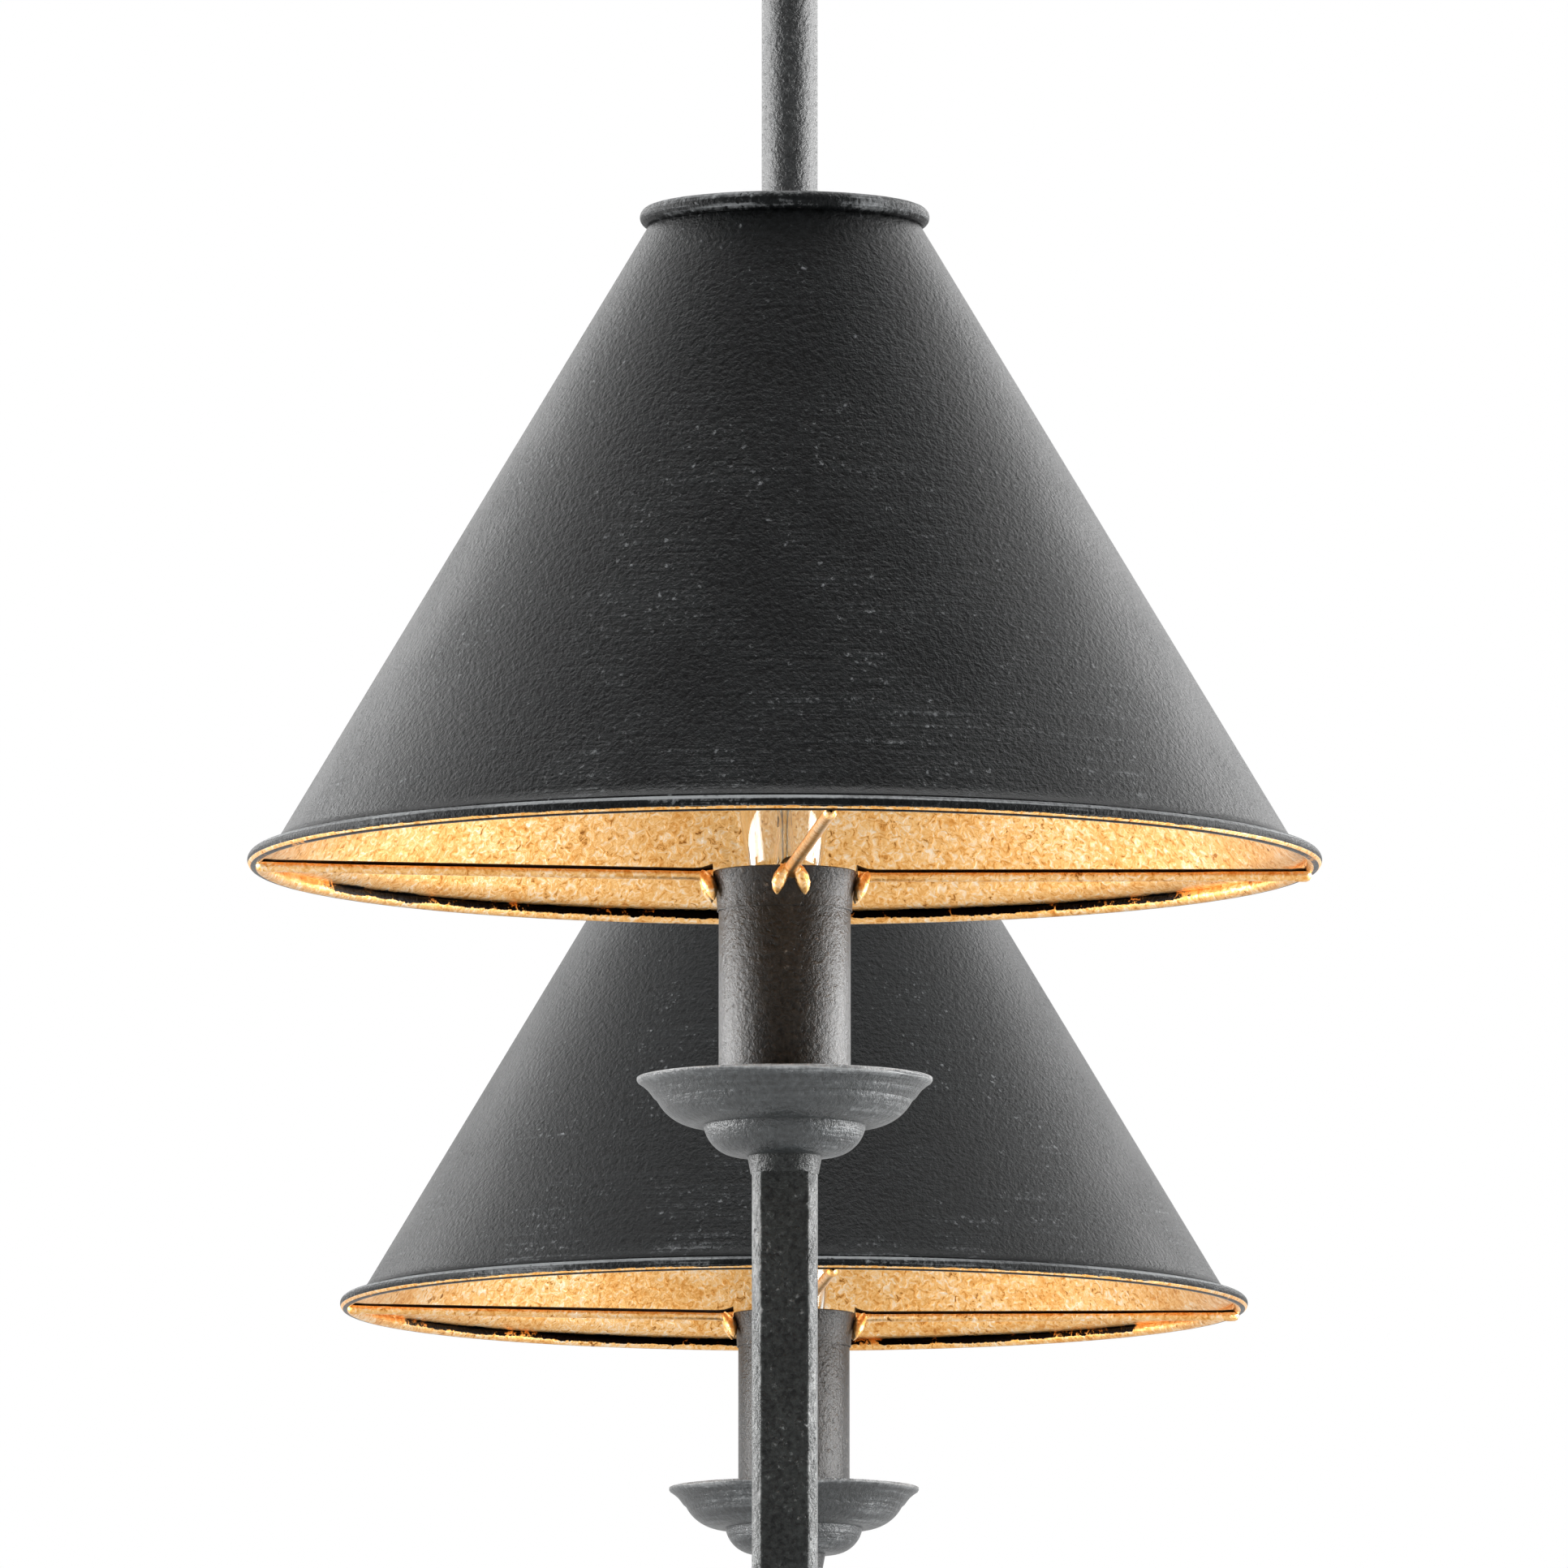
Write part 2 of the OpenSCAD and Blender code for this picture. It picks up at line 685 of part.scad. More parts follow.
module socket_body(side) {
    waist_r = socket_d / 2 - 1;
    floor_z = socket_top - screw_depth - contact_h;
    color("#23211f") lamp_place(side) difference() {
        union() {
            translate([0, 0, socket_bottom]) cylinder(d = socket_d, h = socket_l / 2);
            translate([0, 0, socket_bottom]) cylinder(r = waist_r, h = socket_l);
        }
        translate([0, 0, floor_z]) cylinder(d = socket_bore, h = socket_top - floor_z + eps);
    }
}

module socket_shell(side) {
    color(brass) lamp_place(side)
        tube(shell_d, shell_bore, socket_top - screw_depth, socket_top - seat_clear);
}

module socket_contacts() {
    color(brass) for (side = [-1, 1]) lamp_place(side)
        translate([0, 0, socket_top - screw_depth - contact_h + seat_clear / 2]) {
            cylinder(d = base_d / 2, h = contact_h - seat_clear);
            translate([-base_d / 2, -1.5, 0]) cube([base_d, 3, contact_h / 2]);
        }
}

module sleeve(side) {
    color(iron) lamp_place(side) tube(sleeve_d, sleeve_bore, sleeve_top - sleeve_l, sleeve_top);
}

// Shade and its carrier

module shade(side) {
    half_wall = wall_normal * shade_wall / 2;
    crown = [top_x, shade_h] - crown_mid * wall_normal;
    reach = flare_r + 2 * shade_wall;
    color(iron) lamp_place(side) rotate_extrude() {
        polygon([crown + half_wall, crown - half_wall, wall_foot - half_wall, wall_foot + half_wall]);
        translate(flare_c) intersection() {
            difference() {
                circle(r = flare_r + shade_wall);
                circle(r = flare_r);
            }
            polygon([[0, 0], -2 * reach * wall_normal, [-reach, -2 * reach], [0, -2 * reach]]);
        }
        translate([bead_x, 0]) circle(r = bead_r);
        translate([top_x, shade_h]) circle(d = upper_bead_d);
    }
}

module shade_carrier(side) {
    skirt_top = skirt_in + skirt_top_t;
    skirt_low = carrier_top - lip_t - skirt_h;
    color(iron) lamp_place(side) rotate([0, 0, thumb_turn]) difference() {
        union() {
            rotate_extrude() polygon([[lip_r, carrier_top], [skirt_top, carrier_top],
                                      [skirt_in + skirt_foot_t, skirt_low], [skirt_in, skirt_low],
                                      [skirt_in, carrier_top - lip_t], [lip_r, carrier_top - lip_t]]);
            difference() {
                translate([skirt_in - slide_clear, 0, thumb_z]) rotate([0, 90, 0])
                    cylinder(r = boss_r, h = boss_end - skirt_in + slide_clear);
                translate([0, 0, thumb_z - boss_r - eps]) cylinder(r = skirt_in, h = 2 * (boss_r + eps));
            }
        }
        translate([skirt_in - eps, 0, thumb_z]) rotate([0, 90, 0])
            cylinder(d = thumb_d + 2 * run_clear, h = boss_end);
    }
}

// The wires stand out from the carrier's side, climb a little and end in the lower bead's inner corner
module carrier_wires(side) {
    wire_end = bead_x - 0.3;
    hold_r = skirt_in + skirt_top_t + seat_clear / 2;
    climb = atan2(wire_out_z - wire_in_z, wire_end - skirt_in);
    color(gold) lamp_place(side) rotate([0, 0, carrier_turn])
        for (i = [0 : wire_count - 1]) rotate([0, 0, i * 360 / wire_count]) difference() {
            translate([skirt_in, 0, wire_in_z]) rotate([0, 90 - climb, 0])
                cylinder(d = wire_d, h = (wire_end - skirt_in) / cos(climb));
            translate([0, 0, wire_in_z - wire_d]) cylinder(r = hold_r, h = 2 * wire_d);
            rotate_extrude() translate([bead_x, 0]) circle(r = bead_r + seat_clear / 2);
        }
}

module thumbscrew(side) {
    head_x = boss_end + slide_clear;
    lobe_x = wing_reach - wing_lobe_r;
    color(brass) lamp_place(side) rotate([0, 0, thumb_turn]) translate([0, 0, thumb_z]) rotate([90, 0, 90]) {
        translate([0, 0, thumb_tip]) cylinder(d = thumb_d, h = head_x - thumb_tip);
        translate([0, 0, head_x]) cylinder(r = boss_r - 0.3, h = wing_t + 0.4);
        translate([0, 0, head_x]) linear_extrude(wing_t) for (turn = [-wing_droop, 180 + wing_droop])
            rotate(turn) {
                translate([lobe_x, 0]) circle(r = wing_lobe_r);
                translate([0, -thumb_d / 4]) square([lobe_x, thumb_d / 2]);
            }
    }
}

// Bulb

// Half of the glass's section: the lower arc swells from the neck, the upper one closes to a blunt tip
module bulb_section(inset) {
    belly_r = bulb_d / 2 - inset;
    neck_r = base_d / 2 + 0.95 - inset;
    tip_r = 3 - inset;
    top_z = bulb_h - belly_h - tip_r - inset;
    low_rise = pow(belly_h, 2) / (bulb_d / 2 - base_d / 2 - 0.95);
    lower_arc = (low_rise + bulb_d / 2 - base_d / 2 - 0.95) / 2 - inset;
    upper_arc = (pow(top_z, 2) + pow(belly_r, 2) - pow(tip_r, 2)) / (2 * (belly_r - tip_r));
    translate([0, belly_h]) {
        intersection() {
            translate([belly_r - lower_arc, 0]) circle(r = lower_arc, $fn = 256);
            translate([0, -belly_h]) square([belly_r, belly_h]);
        }
        intersection() {
            translate([belly_r - upper_arc, 0]) circle(r = upper_arc, $fn = 256);
            square([belly_r, top_z]);
        }
        translate([0, top_z]) intersection() {
            circle(r = tip_r);
            square(2 * tip_r);
        }
    }
}

module bulb_glass(side) {
    color("#e8ecef", 0.4) lamp_place(side) translate([0, 0, socket_top + socket_recess / 2]) rotate_extrude()
        difference() {
            bulb_section(0);
            intersection() {
                bulb_section(glass_t);
                translate([0, glass_t]) square([bulb_d, bulb_h]);
            }
        }
}

module bulb_base(side) {
    foot_z = socket_top - base_l;
    tip_z = socket_top - screw_depth + contact_gap;
    color(brass) lamp_place(side) {
        translate([0, 0, foot_z]) cylinder(d = base_d, h = base_l + socket_recess / 2);
        translate([0, 0, tip_z]) cylinder(d1 = base_d / 3, d2 = base_d * 0.9, h = foot_z - tip_z);
    }
}

module bulb_filament(side) {
    foot_z = socket_top + socket_recess / 2 + glass_t;
    stem_h = filament_h / 2;
    lead_x = 2.6;
    lead_d = 0.6;
    color("#c9c6bd") lamp_place(side) translate([0, 0, foot_z]) {
        cylinder(d1 = base_d * 0.6, d2 = 3, h = stem_h);
        for (turn = [0 : 90 : 270]) rotate([0, 0, turn]) {
            translate([0, 0, stem_h - lead_d]) rotate([0, 90, 0]) cylinder(d = lead_d, h = lead_x);
            translate([lead_x, 0, stem_h - lead_d]) cylinder(d = 2 * lead_d, h = filament_h);
        }
    }
}

crossbar();
swivel_stud();
stud_locknut();
canopy();
canopy_studs();
canopy_cap_nuts();
ground_screw();
swivel_yoke();
swivel_screws();
swivel_barrel();
upper_rod();
rod_coupling();
lower_rod();
stem_ring();
hub_body();
hub_pipe();
hub_locknut();
hub_cover();
finial();
wire_connectors();
arm_set_screws();
stem_wire();
arm(-1);  // arm_left
arm(1);  // arm_right
arm_wire(-1);  // arm_wire_left
arm_wire(1);  // arm_wire_right
arm_collar(-1);  // arm_collar_left
arm_collar(1);  // arm_collar_right
lamp_pipe(-1);  // lamp_pipe_left
lamp_pipe(1);  // lamp_pipe_right
cup(-1);  // cup_left
cup(1);  // cup_right
cup_locknuts();
socket_bracket(-1);  // socket_bracket_left
socket_bracket(1);  // socket_bracket_right
socket_body(-1);  // socket_body_left
socket_body(1);  // socket_body_right
socket_shell(-1);  // socket_shell_left
socket_shell(1);  // socket_shell_right
socket_contacts();
sleeve(-1);  // sleeve_left
sleeve(1);  // sleeve_right
shade(-1);  // shade_left
shade(1);  // shade_right
shade_carrier(-1);  // shade_carrier_left
shade_carrier(1);  // shade_carrier_right
carrier_wires(-1);  // carrier_wires_left
carrier_wires(1);  // carrier_wires_right
thumbscrew(-1);  // thumbscrew_left
thumbscrew(1);  // thumbscrew_right
bulb_glass(-1);  // bulb_glass_left
bulb_glass(1);  // bulb_glass_right
bulb_base(-1);  // bulb_base_left
bulb_base(1);  // bulb_base_right
bulb_filament(-1);  // bulb_filament_left
bulb_filament(1);  // bulb_filament_right
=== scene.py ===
# %% [markdown]
# A linear chandelier: two candle lamps with cone shades stand on a bent square bar, and one stem
# hangs the bar from a swivel under a ceiling canopy. The measured solids come first, as a fixed
# frame, and every piece below is made in metres in that same frame, so nothing has to be fitted.

# %% Load the measured frame
import math
import bmesh
import bpy
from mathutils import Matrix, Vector


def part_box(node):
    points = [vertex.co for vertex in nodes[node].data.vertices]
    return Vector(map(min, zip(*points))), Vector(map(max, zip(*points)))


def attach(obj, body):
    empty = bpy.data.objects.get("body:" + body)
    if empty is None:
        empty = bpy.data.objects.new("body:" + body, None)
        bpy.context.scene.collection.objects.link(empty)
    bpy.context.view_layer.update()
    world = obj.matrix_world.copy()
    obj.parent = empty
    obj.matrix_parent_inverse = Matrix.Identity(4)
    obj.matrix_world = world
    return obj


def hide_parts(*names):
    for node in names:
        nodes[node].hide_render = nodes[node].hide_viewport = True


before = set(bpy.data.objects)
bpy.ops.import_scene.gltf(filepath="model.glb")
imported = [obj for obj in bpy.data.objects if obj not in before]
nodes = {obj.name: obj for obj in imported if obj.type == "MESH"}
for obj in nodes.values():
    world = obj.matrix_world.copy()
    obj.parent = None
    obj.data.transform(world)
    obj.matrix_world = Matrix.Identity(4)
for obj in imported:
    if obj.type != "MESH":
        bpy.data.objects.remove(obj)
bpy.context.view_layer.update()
SIDES = {"left": -1, "right": 1}
LAMP_X = 0.5

# %% [markdown]
# The photo was taken from one end of the fixture, about five and a half metres away, from below
# and with a long lens. The place and the lens were worked out from the tips of the two shades and
# the two cups, so the camera is written as numbers. It only looks up, with no shift.

# %% Camera
def into_scene(name, data):
    thing = bpy.data.objects.new(name, data)
    bpy.context.scene.collection.objects.link(thing)
    return thing


camera = into_scene("Camera", bpy.data.cameras.new("Camera"))
bpy.context.scene.camera = camera
camera.data.sensor_width = 36.0
camera.data.lens = 600.28
camera.data.clip_end = 60.0
camera.location = (5.86831, 0.01218, -1.24023)
yaw, pitch = math.radians(0.13147), math.radians(6.39045)
level = math.cos(pitch)
forward = Vector((-level * math.cos(yaw), -level * math.sin(yaw), math.sin(pitch)))
camera.rotation_euler = forward.to_track_quat("-Z", "Y").to_euler()
bpy.context.scene.view_settings.view_transform = "Standard"
print("camera", tuple(round(v, 3) for v in camera.location), "lens", camera.data.lens)

# %% [markdown]
# A few small helpers serve every material and every node tree. One turns an sRGB hex colour into
# the linear values that Blender works with, and one turns the real size of a pattern into its
# scale. The third adds a node, sets what is named in its settings and joins what is named in its
# links. A new material comes with its shader and its texture coordinates.

# %% Helpers for colours and nodes
def linear(hex_colour):
    values = [int(hex_colour[i:i + 2], 16) / 255 for i in (1, 3, 5)]
    return tuple(v / 12.92 if v <= 0.04045 else ((v + 0.055) / 1.055) ** 2.4 for v in values) + (1.0,)


def scale_for(size_mm):
    return 1000.0 / size_mm


def add(tree, kind, settings=None, links=None):
    node = tree.nodes.new(kind)
    for key, value in (settings or {}).items():
        if isinstance(key, str) and hasattr(node, key):
            setattr(node, key, value)
        else:
            node.inputs[key].default_value = value
    for key, socket in (links or {}).items():
        tree.links.new(socket, node.inputs[key])
    return node


def new_material(name):
    material = bpy.data.materials.new(name)
    material.use_nodes = True
    tree = material.node_tree
    return material, tree, tree.nodes["Principled BSDF"], add(tree, "ShaderNodeTexCoord")


def ramp_stops(ramp_node, stops):
    ramp = ramp_node.color_ramp
    while len(ramp.elements) < len(stops):
        ramp.elements.new(0.5)
    for element, (place, colour) in zip(ramp.elements, stops):
        element.position = place
        element.color = linear(colour)


print("helpers ready, mid grey is", round(linear("#808080")[0], 3))

# %% [markdown]
# Most of the fixture is iron sheet or bar under a near-black patina, rubbed on by hand and waxed.
# The specks in it could be painted, but they follow a simple rule: random cells of a real size,
# some of them left out, with a dot in the middle of each. Two sizes of dots are pale and one is a
# dark pit. The cells are bent by the grain, so that no dot is round, and they crowd in patches.

# %% Specks in the patina
SPECK_BEND = (0.0022, 0.0022, 0.0022)
# For each kind: size of a cell in millimetres, share of cells left out, and strength
SPECKS = ((1.0, 0.2, 0.28), (1.7, 0.5, 0.5), (1.5, 0.35, -0.6))


def patina_specks(tree, spot, grain, patch):
    bent = add(tree, "ShaderNodeVectorMath", {"operation": "MULTIPLY_ADD", 1: SPECK_BEND},
               {0: grain.outputs["Color"], 2: spot})
    shown = add(tree, "ShaderNodeMapRange", {"From Min": 0.38, "From Max": 0.7, "To Max": 0.28},
                {"Value": grain.outputs["Fac"]}).outputs["Result"]
    for cell_mm, left_out, strength in SPECKS:
        cells = add(tree, "ShaderNodeTexVoronoi", {"Scale": scale_for(cell_mm)},
                    {"Vector": bent.outputs["Vector"]})
        dot = add(tree, "ShaderNodeMapRange", {"From Min": 0.36, "From Max": 0.12, "To Max": strength},
                  {"Value": cells.outputs["Distance"]})
        chance = add(tree, "ShaderNodeSeparateColor", None, {"Color": cells.outputs["Color"]})
        picked = add(tree, "ShaderNodeMapRange", {"From Min": left_out, "From Max": 1.0},
                     {"Value": chance.outputs["Red"]})
        here = add(tree, "ShaderNodeMath", {"operation": "MULTIPLY"},
                   {0: picked.outputs["Result"], 1: patch})
        shown = add(tree, "ShaderNodeMath", {"operation": "MULTIPLY_ADD"},
                    {0: dot.outputs["Result"], 1: here.outputs["Value"], 2: shown}).outputs["Value"]
    return shown


print("kinds of specks", len(SPECKS))

# %% [markdown]
# The wax makes the patina a thin satin coat: dark seen straight on, pale towards the sides, where
# it mirrors the studio panels. To the specks come a fine sandy grain and rub marks stretched along
# the rubbing direction, each at its real size. Pieces made below carry an attribute of wear, 1
# where hands and cloth rub the most; on top of the shades' lower bead it is also set high as a
# painted highlight. There the coat is thin and lets paler iron through. A finish has three tones,
# from the deepest patina to bare iron, a roughness, a shine and a relief.

# %% Hand-rubbed black iron
CLOUD_MM, GRAIN_MM = 24.0, 1.2


def black_iron(name, rub_mm, rub_amount, tones, rough, shine, relief=0.8):
    material, tree, shader, place = new_material(name)
    spot = place.outputs["Object"]
    wear = add(tree, "ShaderNodeAttribute", {"attribute_name": "wear"}).outputs["Fac"]
    stretch = add(tree, "ShaderNodeMapping", {"Scale": tuple(scale_for(v) for v in rub_mm)},
                  {"Vector": spot})
    rub = add(tree, "ShaderNodeTexNoise", {"Scale": 1.0, "Detail": 4.0, "Roughness": 0.62},
              {"Vector": stretch.outputs["Vector"]})
    cloud = add(tree, "ShaderNodeTexNoise", {"Scale": scale_for(CLOUD_MM), "Detail": 3.0}, {"Vector": spot})
    grain = add(tree, "ShaderNodeTexNoise",
                {"Scale": scale_for(GRAIN_MM), "Detail": 3.0, "Roughness": 0.7}, {"Vector": spot})
    patch = add(tree, "ShaderNodeMapRange", {"From Min": 0.38, "From Max": 0.58},
                {"Value": cloud.outputs["Fac"]}).outputs["Result"]
    shown = patina_specks(tree, spot, grain, patch)
    rub_range = add(tree, "ShaderNodeMapRange", {"From Min": 0.40, "From Max": 0.68},
                    {"Value": rub.outputs["Fac"]})
    rub_here = add(tree, "ShaderNodeMath",
                   {"operation": "MULTIPLY_ADD", 1: rub_amount, 2: rub_amount * 0.2}, {0: wear})
    rub_patch = add(tree, "ShaderNodeMath", {"operation": "MULTIPLY"},
                    {0: rub_here.outputs["Value"], 1: patch})
    rubbed = add(tree, "ShaderNodeMath", {"operation": "MULTIPLY_ADD"},
                 {0: rub_range.outputs["Result"], 1: rub_patch.outputs["Value"], 2: shown})
    # Where this attribute is high the coat is thin and paler: real rub wear, and on top of the shades' lower
    # bead a painted highlight.
    thin = add(tree, "ShaderNodeMapRange", {"From Min": 0.55, "From Max": 1.0, "To Max": 1.15},
               {"Value": wear})
    pale = add(tree, "ShaderNodeMath", {"operation": "MULTIPLY_ADD"},
               {0: thin.outputs["Result"], 1: rub.outputs["Fac"], 2: rubbed.outputs["Value"]})
    tone = add(tree, "ShaderNodeValToRGB", None, {"Fac": pale.outputs["Value"]})
    ramp_stops(tone, [(0.0, tones[0]), (0.35, tones[1]), (1.0, tones[2])])
    gloss = add(tree, "ShaderNodeMapRange", {"To Min": rough - 0.06, "To Max": rough + 0.08},
                {"Value": cloud.outputs["Fac"]})
    height = add(tree, "ShaderNodeMath", {"operation": "MULTIPLY_ADD", 1: 0.8},
                 {0: grain.outputs["Fac"], 2: pale.outputs["Value"]})
    bump = add(tree, "ShaderNodeBump", {"Strength": relief, "Distance": 0.0003},
               {"Height": height.outputs["Value"]})
    tree.links.new(tone.outputs["Color"], shader.inputs["Base Color"])
    tree.links.new(gloss.outputs["Result"], shader.inputs["Roughness"])
    tree.links.new(bump.outputs["Normal"], shader.inputs["Normal"])
    shader.inputs["Specular IOR Level"].default_value = shine
    return material


print("coat with clouds of", CLOUD_MM, "mm and a grain of", GRAIN_MM, "mm")

# %% [markdown]
# The same coat looks different on each kind of piece. On the spun shades it is deepest, with rub
# marks that run round. The turned cups are greyer and shine more, the round parts of canopy and hub
# are darker, and bars, rods and sleeves are rubbed lengthwise. The sleeves are browner and smoother.

# %% Iron finishes
ROUND_RUB, LENGTH_RUB = (26.0, 26.0, 0.9), (2.6, 2.6, 5.0)
COOL_TONES = ("#0d0e0f", "#282b2c", "#9a9ea0")
spun_iron = black_iron("black_iron_spun_shade", (48.0, 48.0, 1.1), 0.6,
                       ("#050606", "#1a1c1d", "#a4a7a9"), 0.38, 0.075)
pan_iron = black_iron("black_iron_pan", ROUND_RUB, 0.6, COOL_TONES, 0.38, 0.25)
turned_iron = black_iron("black_iron_turned", ROUND_RUB, 0.9,
                         ("#222526", "#484c4e", "#b4b7b9"), 0.36, 0.65)
bar_iron = black_iron("black_iron_bar", LENGTH_RUB, 0.6, ("#141515", "#363938", "#a0a3a3"), 0.34, 0.32)
rod_iron = black_iron("black_iron_rod", LENGTH_RUB, 0.6, COOL_TONES, 0.34, 0.55)
sleeve_iron = black_iron("black_iron_sleeve", (2.4, 2.4, 7.0), 0.6,
                         ("#100f0d", "#332f2a", "#8a8379"), 0.34, 0.34, 0.55)
print("iron finishes", [m.name for m in bpy.data.materials if m.name.startswith("black_iron")])

# %% [markdown]
# The inside of the shades is gold leaf: thin metal leaf laid over red-brown size, so it keeps fine
# wrinkles, small breaks where the ground shows, and a soft uneven shine. Where the attribute of wear
# is high, in the fold behind the lower bead, black is painted in: painted shade of the fold, only in
# a band across the middle of each shade, with a ragged edge from the same noises that make the
# wrinkles. Towards the sides the fold stays gold. A wear above 1 paints black all the way round, as
# the painted shadow under the bead and the painted dark line along the top of the wires.

# %% Where black is painted in as painted shade
FOLD_MIDDLE_Y = -0.0045
FOLD_FULL_SHADE, FOLD_NO_SHADE = 0.0858, 0.1


def painted_shade_black(tree, spot, fold, wrinkle):
    wear = add(tree, "ShaderNodeAttribute", {"attribute_name": "wear"})
    across = add(tree, "ShaderNodeSeparateXYZ", None, {"Vector": spot})
    # Painted shade of the fold, only within a band across the middle of each shade.
    shifted = add(tree, "ShaderNodeMath", {"operation": "ADD", 1: -FOLD_MIDDLE_Y}, {0: across.outputs["Y"]})
    off_centre = add(tree, "ShaderNodeMath", {"operation": "ABSOLUTE"}, {0: shifted.outputs["Value"]})
    fold_shaded = add(tree, "ShaderNodeMapRange", {"From Min": FOLD_NO_SHADE, "From Max": FOLD_FULL_SHADE},
                 {"Value": off_centre.outputs["Value"]})
    here = add(tree, "ShaderNodeMath", {"operation": "MULTIPLY"},
               {0: wear.outputs["Fac"], 1: fold_shaded.outputs["Result"]})
    dark_all_round = add(tree, "ShaderNodeMath", {"operation": "SUBTRACT", 1: 1.0}, {0: wear.outputs["Fac"]})
    edge = add(tree, "ShaderNodeMath", {"operation": "MAXIMUM"},
               {0: here.outputs["Value"], 1: dark_all_round.outputs["Value"]})
    wander = add(tree, "ShaderNodeMath", {"operation": "MULTIPLY_ADD", 1: 1.1},
                 {0: fold.outputs["Fac"], 2: edge.outputs["Value"]})
    ragged = add(tree, "ShaderNodeMath", {"operation": "MULTIPLY_ADD", 1: 0.9},
                 {0: wrinkle.outputs["Fac"], 2: wander.outputs["Value"]})
    painted_black = add(tree, "ShaderNodeMapRange", {"From Min": 1.67, "From Max": 1.75},
               {"Value": ragged.outputs["Value"]})
    return painted_black.outputs["Result"]


print("fold bare within", FOLD_FULL_SHADE, "m of", FOLD_MIDDLE_Y)

# %% [markdown]
# The leaf is a true metal, so its colour is that of the reflection. Wide folds and fine wrinkles
# are two noises of real size, which give tone, gloss and bump together. Where a wrinkle is deep and
# a fold is high the leaf has torn, and the brown size shows.

# %% Gold leaf
FOLD_MM, WRINKLE_MM = 14.0, 1.5
LEAF_TONES = [(0.30, "#a8642a"), (0.40, "#df9b4b"), (0.52, "#f7c47e"), (0.68, "#fff1dc")]
BROWN_SIZE, PAINTED_SHADE_BLACK = linear("#5a2b0c"), linear("#070403")


def gold_leaf():
    material, tree, shader, place = new_material("gold_leaf_on_iron")
    spot = place.outputs["Object"]
    fold = add(tree, "ShaderNodeTexNoise",
               {"Scale": scale_for(FOLD_MM), "Detail": 5.0, "Roughness": 0.62, "Distortion": 0.8},
               {"Vector": spot})
    wrinkle = add(tree, "ShaderNodeTexNoise",
                  {"Scale": scale_for(WRINKLE_MM), "Detail": 4.0, "Roughness": 0.68, "Distortion": 1.0},
                  {"Vector": spot})
    mixed = add(tree, "ShaderNodeMix", {"data_type": "FLOAT", "Factor": 0.74},
                {2: fold.outputs["Fac"], 3: wrinkle.outputs["Fac"]})
    tone = add(tree, "ShaderNodeValToRGB", None, {"Fac": mixed.outputs[0]})
    ramp_stops(tone, LEAF_TONES)
    pit = add(tree, "ShaderNodeMapRange", {"From Min": 0.41, "From Max": 0.33},
              {"Value": wrinkle.outputs["Fac"]})
    torn = add(tree, "ShaderNodeMapRange", {"From Min": 0.44, "From Max": 0.56, "To Max": 0.75},
               {"Value": fold.outputs["Fac"]})
    broken = add(tree, "ShaderNodeMath", {"operation": "MULTIPLY"},
                 {0: pit.outputs["Result"], 1: torn.outputs["Result"]})
    creased = add(tree, "ShaderNodeMix", {"data_type": "RGBA", 7: BROWN_SIZE},
                  {"Factor": broken.outputs["Value"], 6: tone.outputs["Color"]})
    # Black painted over the leaf as painted shade.
    with_painted_shade = add(tree, "ShaderNodeMix", {"data_type": "RGBA", 7: PAINTED_SHADE_BLACK},
               {"Factor": painted_shade_black(tree, spot, fold, wrinkle), 6: creased.outputs[2]})
    gloss = add(tree, "ShaderNodeMapRange",
                {"From Min": 0.3, "From Max": 0.7, "To Min": 0.46, "To Max": 0.26},
                {"Value": mixed.outputs[0]})
    bump = add(tree, "ShaderNodeBump", {"Strength": 0.55, "Distance": 0.0005}, {"Height": mixed.outputs[0]})
    tree.links.new(with_painted_shade.outputs[2], shader.inputs["Base Color"])
    tree.links.new(gloss.outputs["Result"], shader.inputs["Roughness"])
    tree.links.new(bump.outputs["Normal"], shader.inputs["Normal"])
    shader.inputs["Metallic"].default_value = 1.0
    return material


leaf_gold = gold_leaf()
print("leaf", leaf_gold.name)

# %% [markdown]
# The small metal parts are bare: brass for the thumbscrews, trunnion screws and lamp contacts,
# zinc-plated steel for pipes and nuts, and dark phosphated steel for the ceiling strap. All are true
# metals with a drawn or plated grain that spreads their shine, so one function makes them from two
# tones, the size of the grain and a roughness. The real grain is finer: it is coarse here to show.

# %% Bare metals
STAIN_MM = 9.0


def bare_metal(name, dark, light, grain_mm, rough):
    material, tree, shader, place = new_material(name)
    spot = place.outputs["Object"]
    stretch = add(tree, "ShaderNodeMapping", {"Scale": tuple(scale_for(v) for v in grain_mm)},
                  {"Vector": spot})
    grain = add(tree, "ShaderNodeTexNoise", {"Scale": 1.0, "Detail": 3.0},
                {"Vector": stretch.outputs["Vector"]})
    cloud = add(tree, "ShaderNodeTexNoise", {"Scale": scale_for(STAIN_MM), "Detail": 2.0}, {"Vector": spot})
    mixed = add(tree, "ShaderNodeMix", {"data_type": "FLOAT", "Factor": 0.5},
                {2: grain.outputs["Fac"], 3: cloud.outputs["Fac"]})
    tone = add(tree, "ShaderNodeValToRGB", None, {"Fac": mixed.outputs[0]})
    ramp_stops(tone, [(0.35, dark), (0.62, light)])
    gloss = add(tree, "ShaderNodeMapRange", {"To Min": rough - 0.08, "To Max": rough + 0.1},
                {"Value": mixed.outputs[0]})
    bump = add(tree, "ShaderNodeBump", {"Strength": 0.15, "Distance": 0.0001},
               {"Height": grain.outputs["Fac"]})
    tree.links.new(tone.outputs["Color"], shader.inputs["Base Color"])
    tree.links.new(gloss.outputs["Result"], shader.inputs["Roughness"])
    tree.links.new(bump.outputs["Normal"], shader.inputs["Normal"])
    shader.inputs["Metallic"].default_value = 1.0
    return material


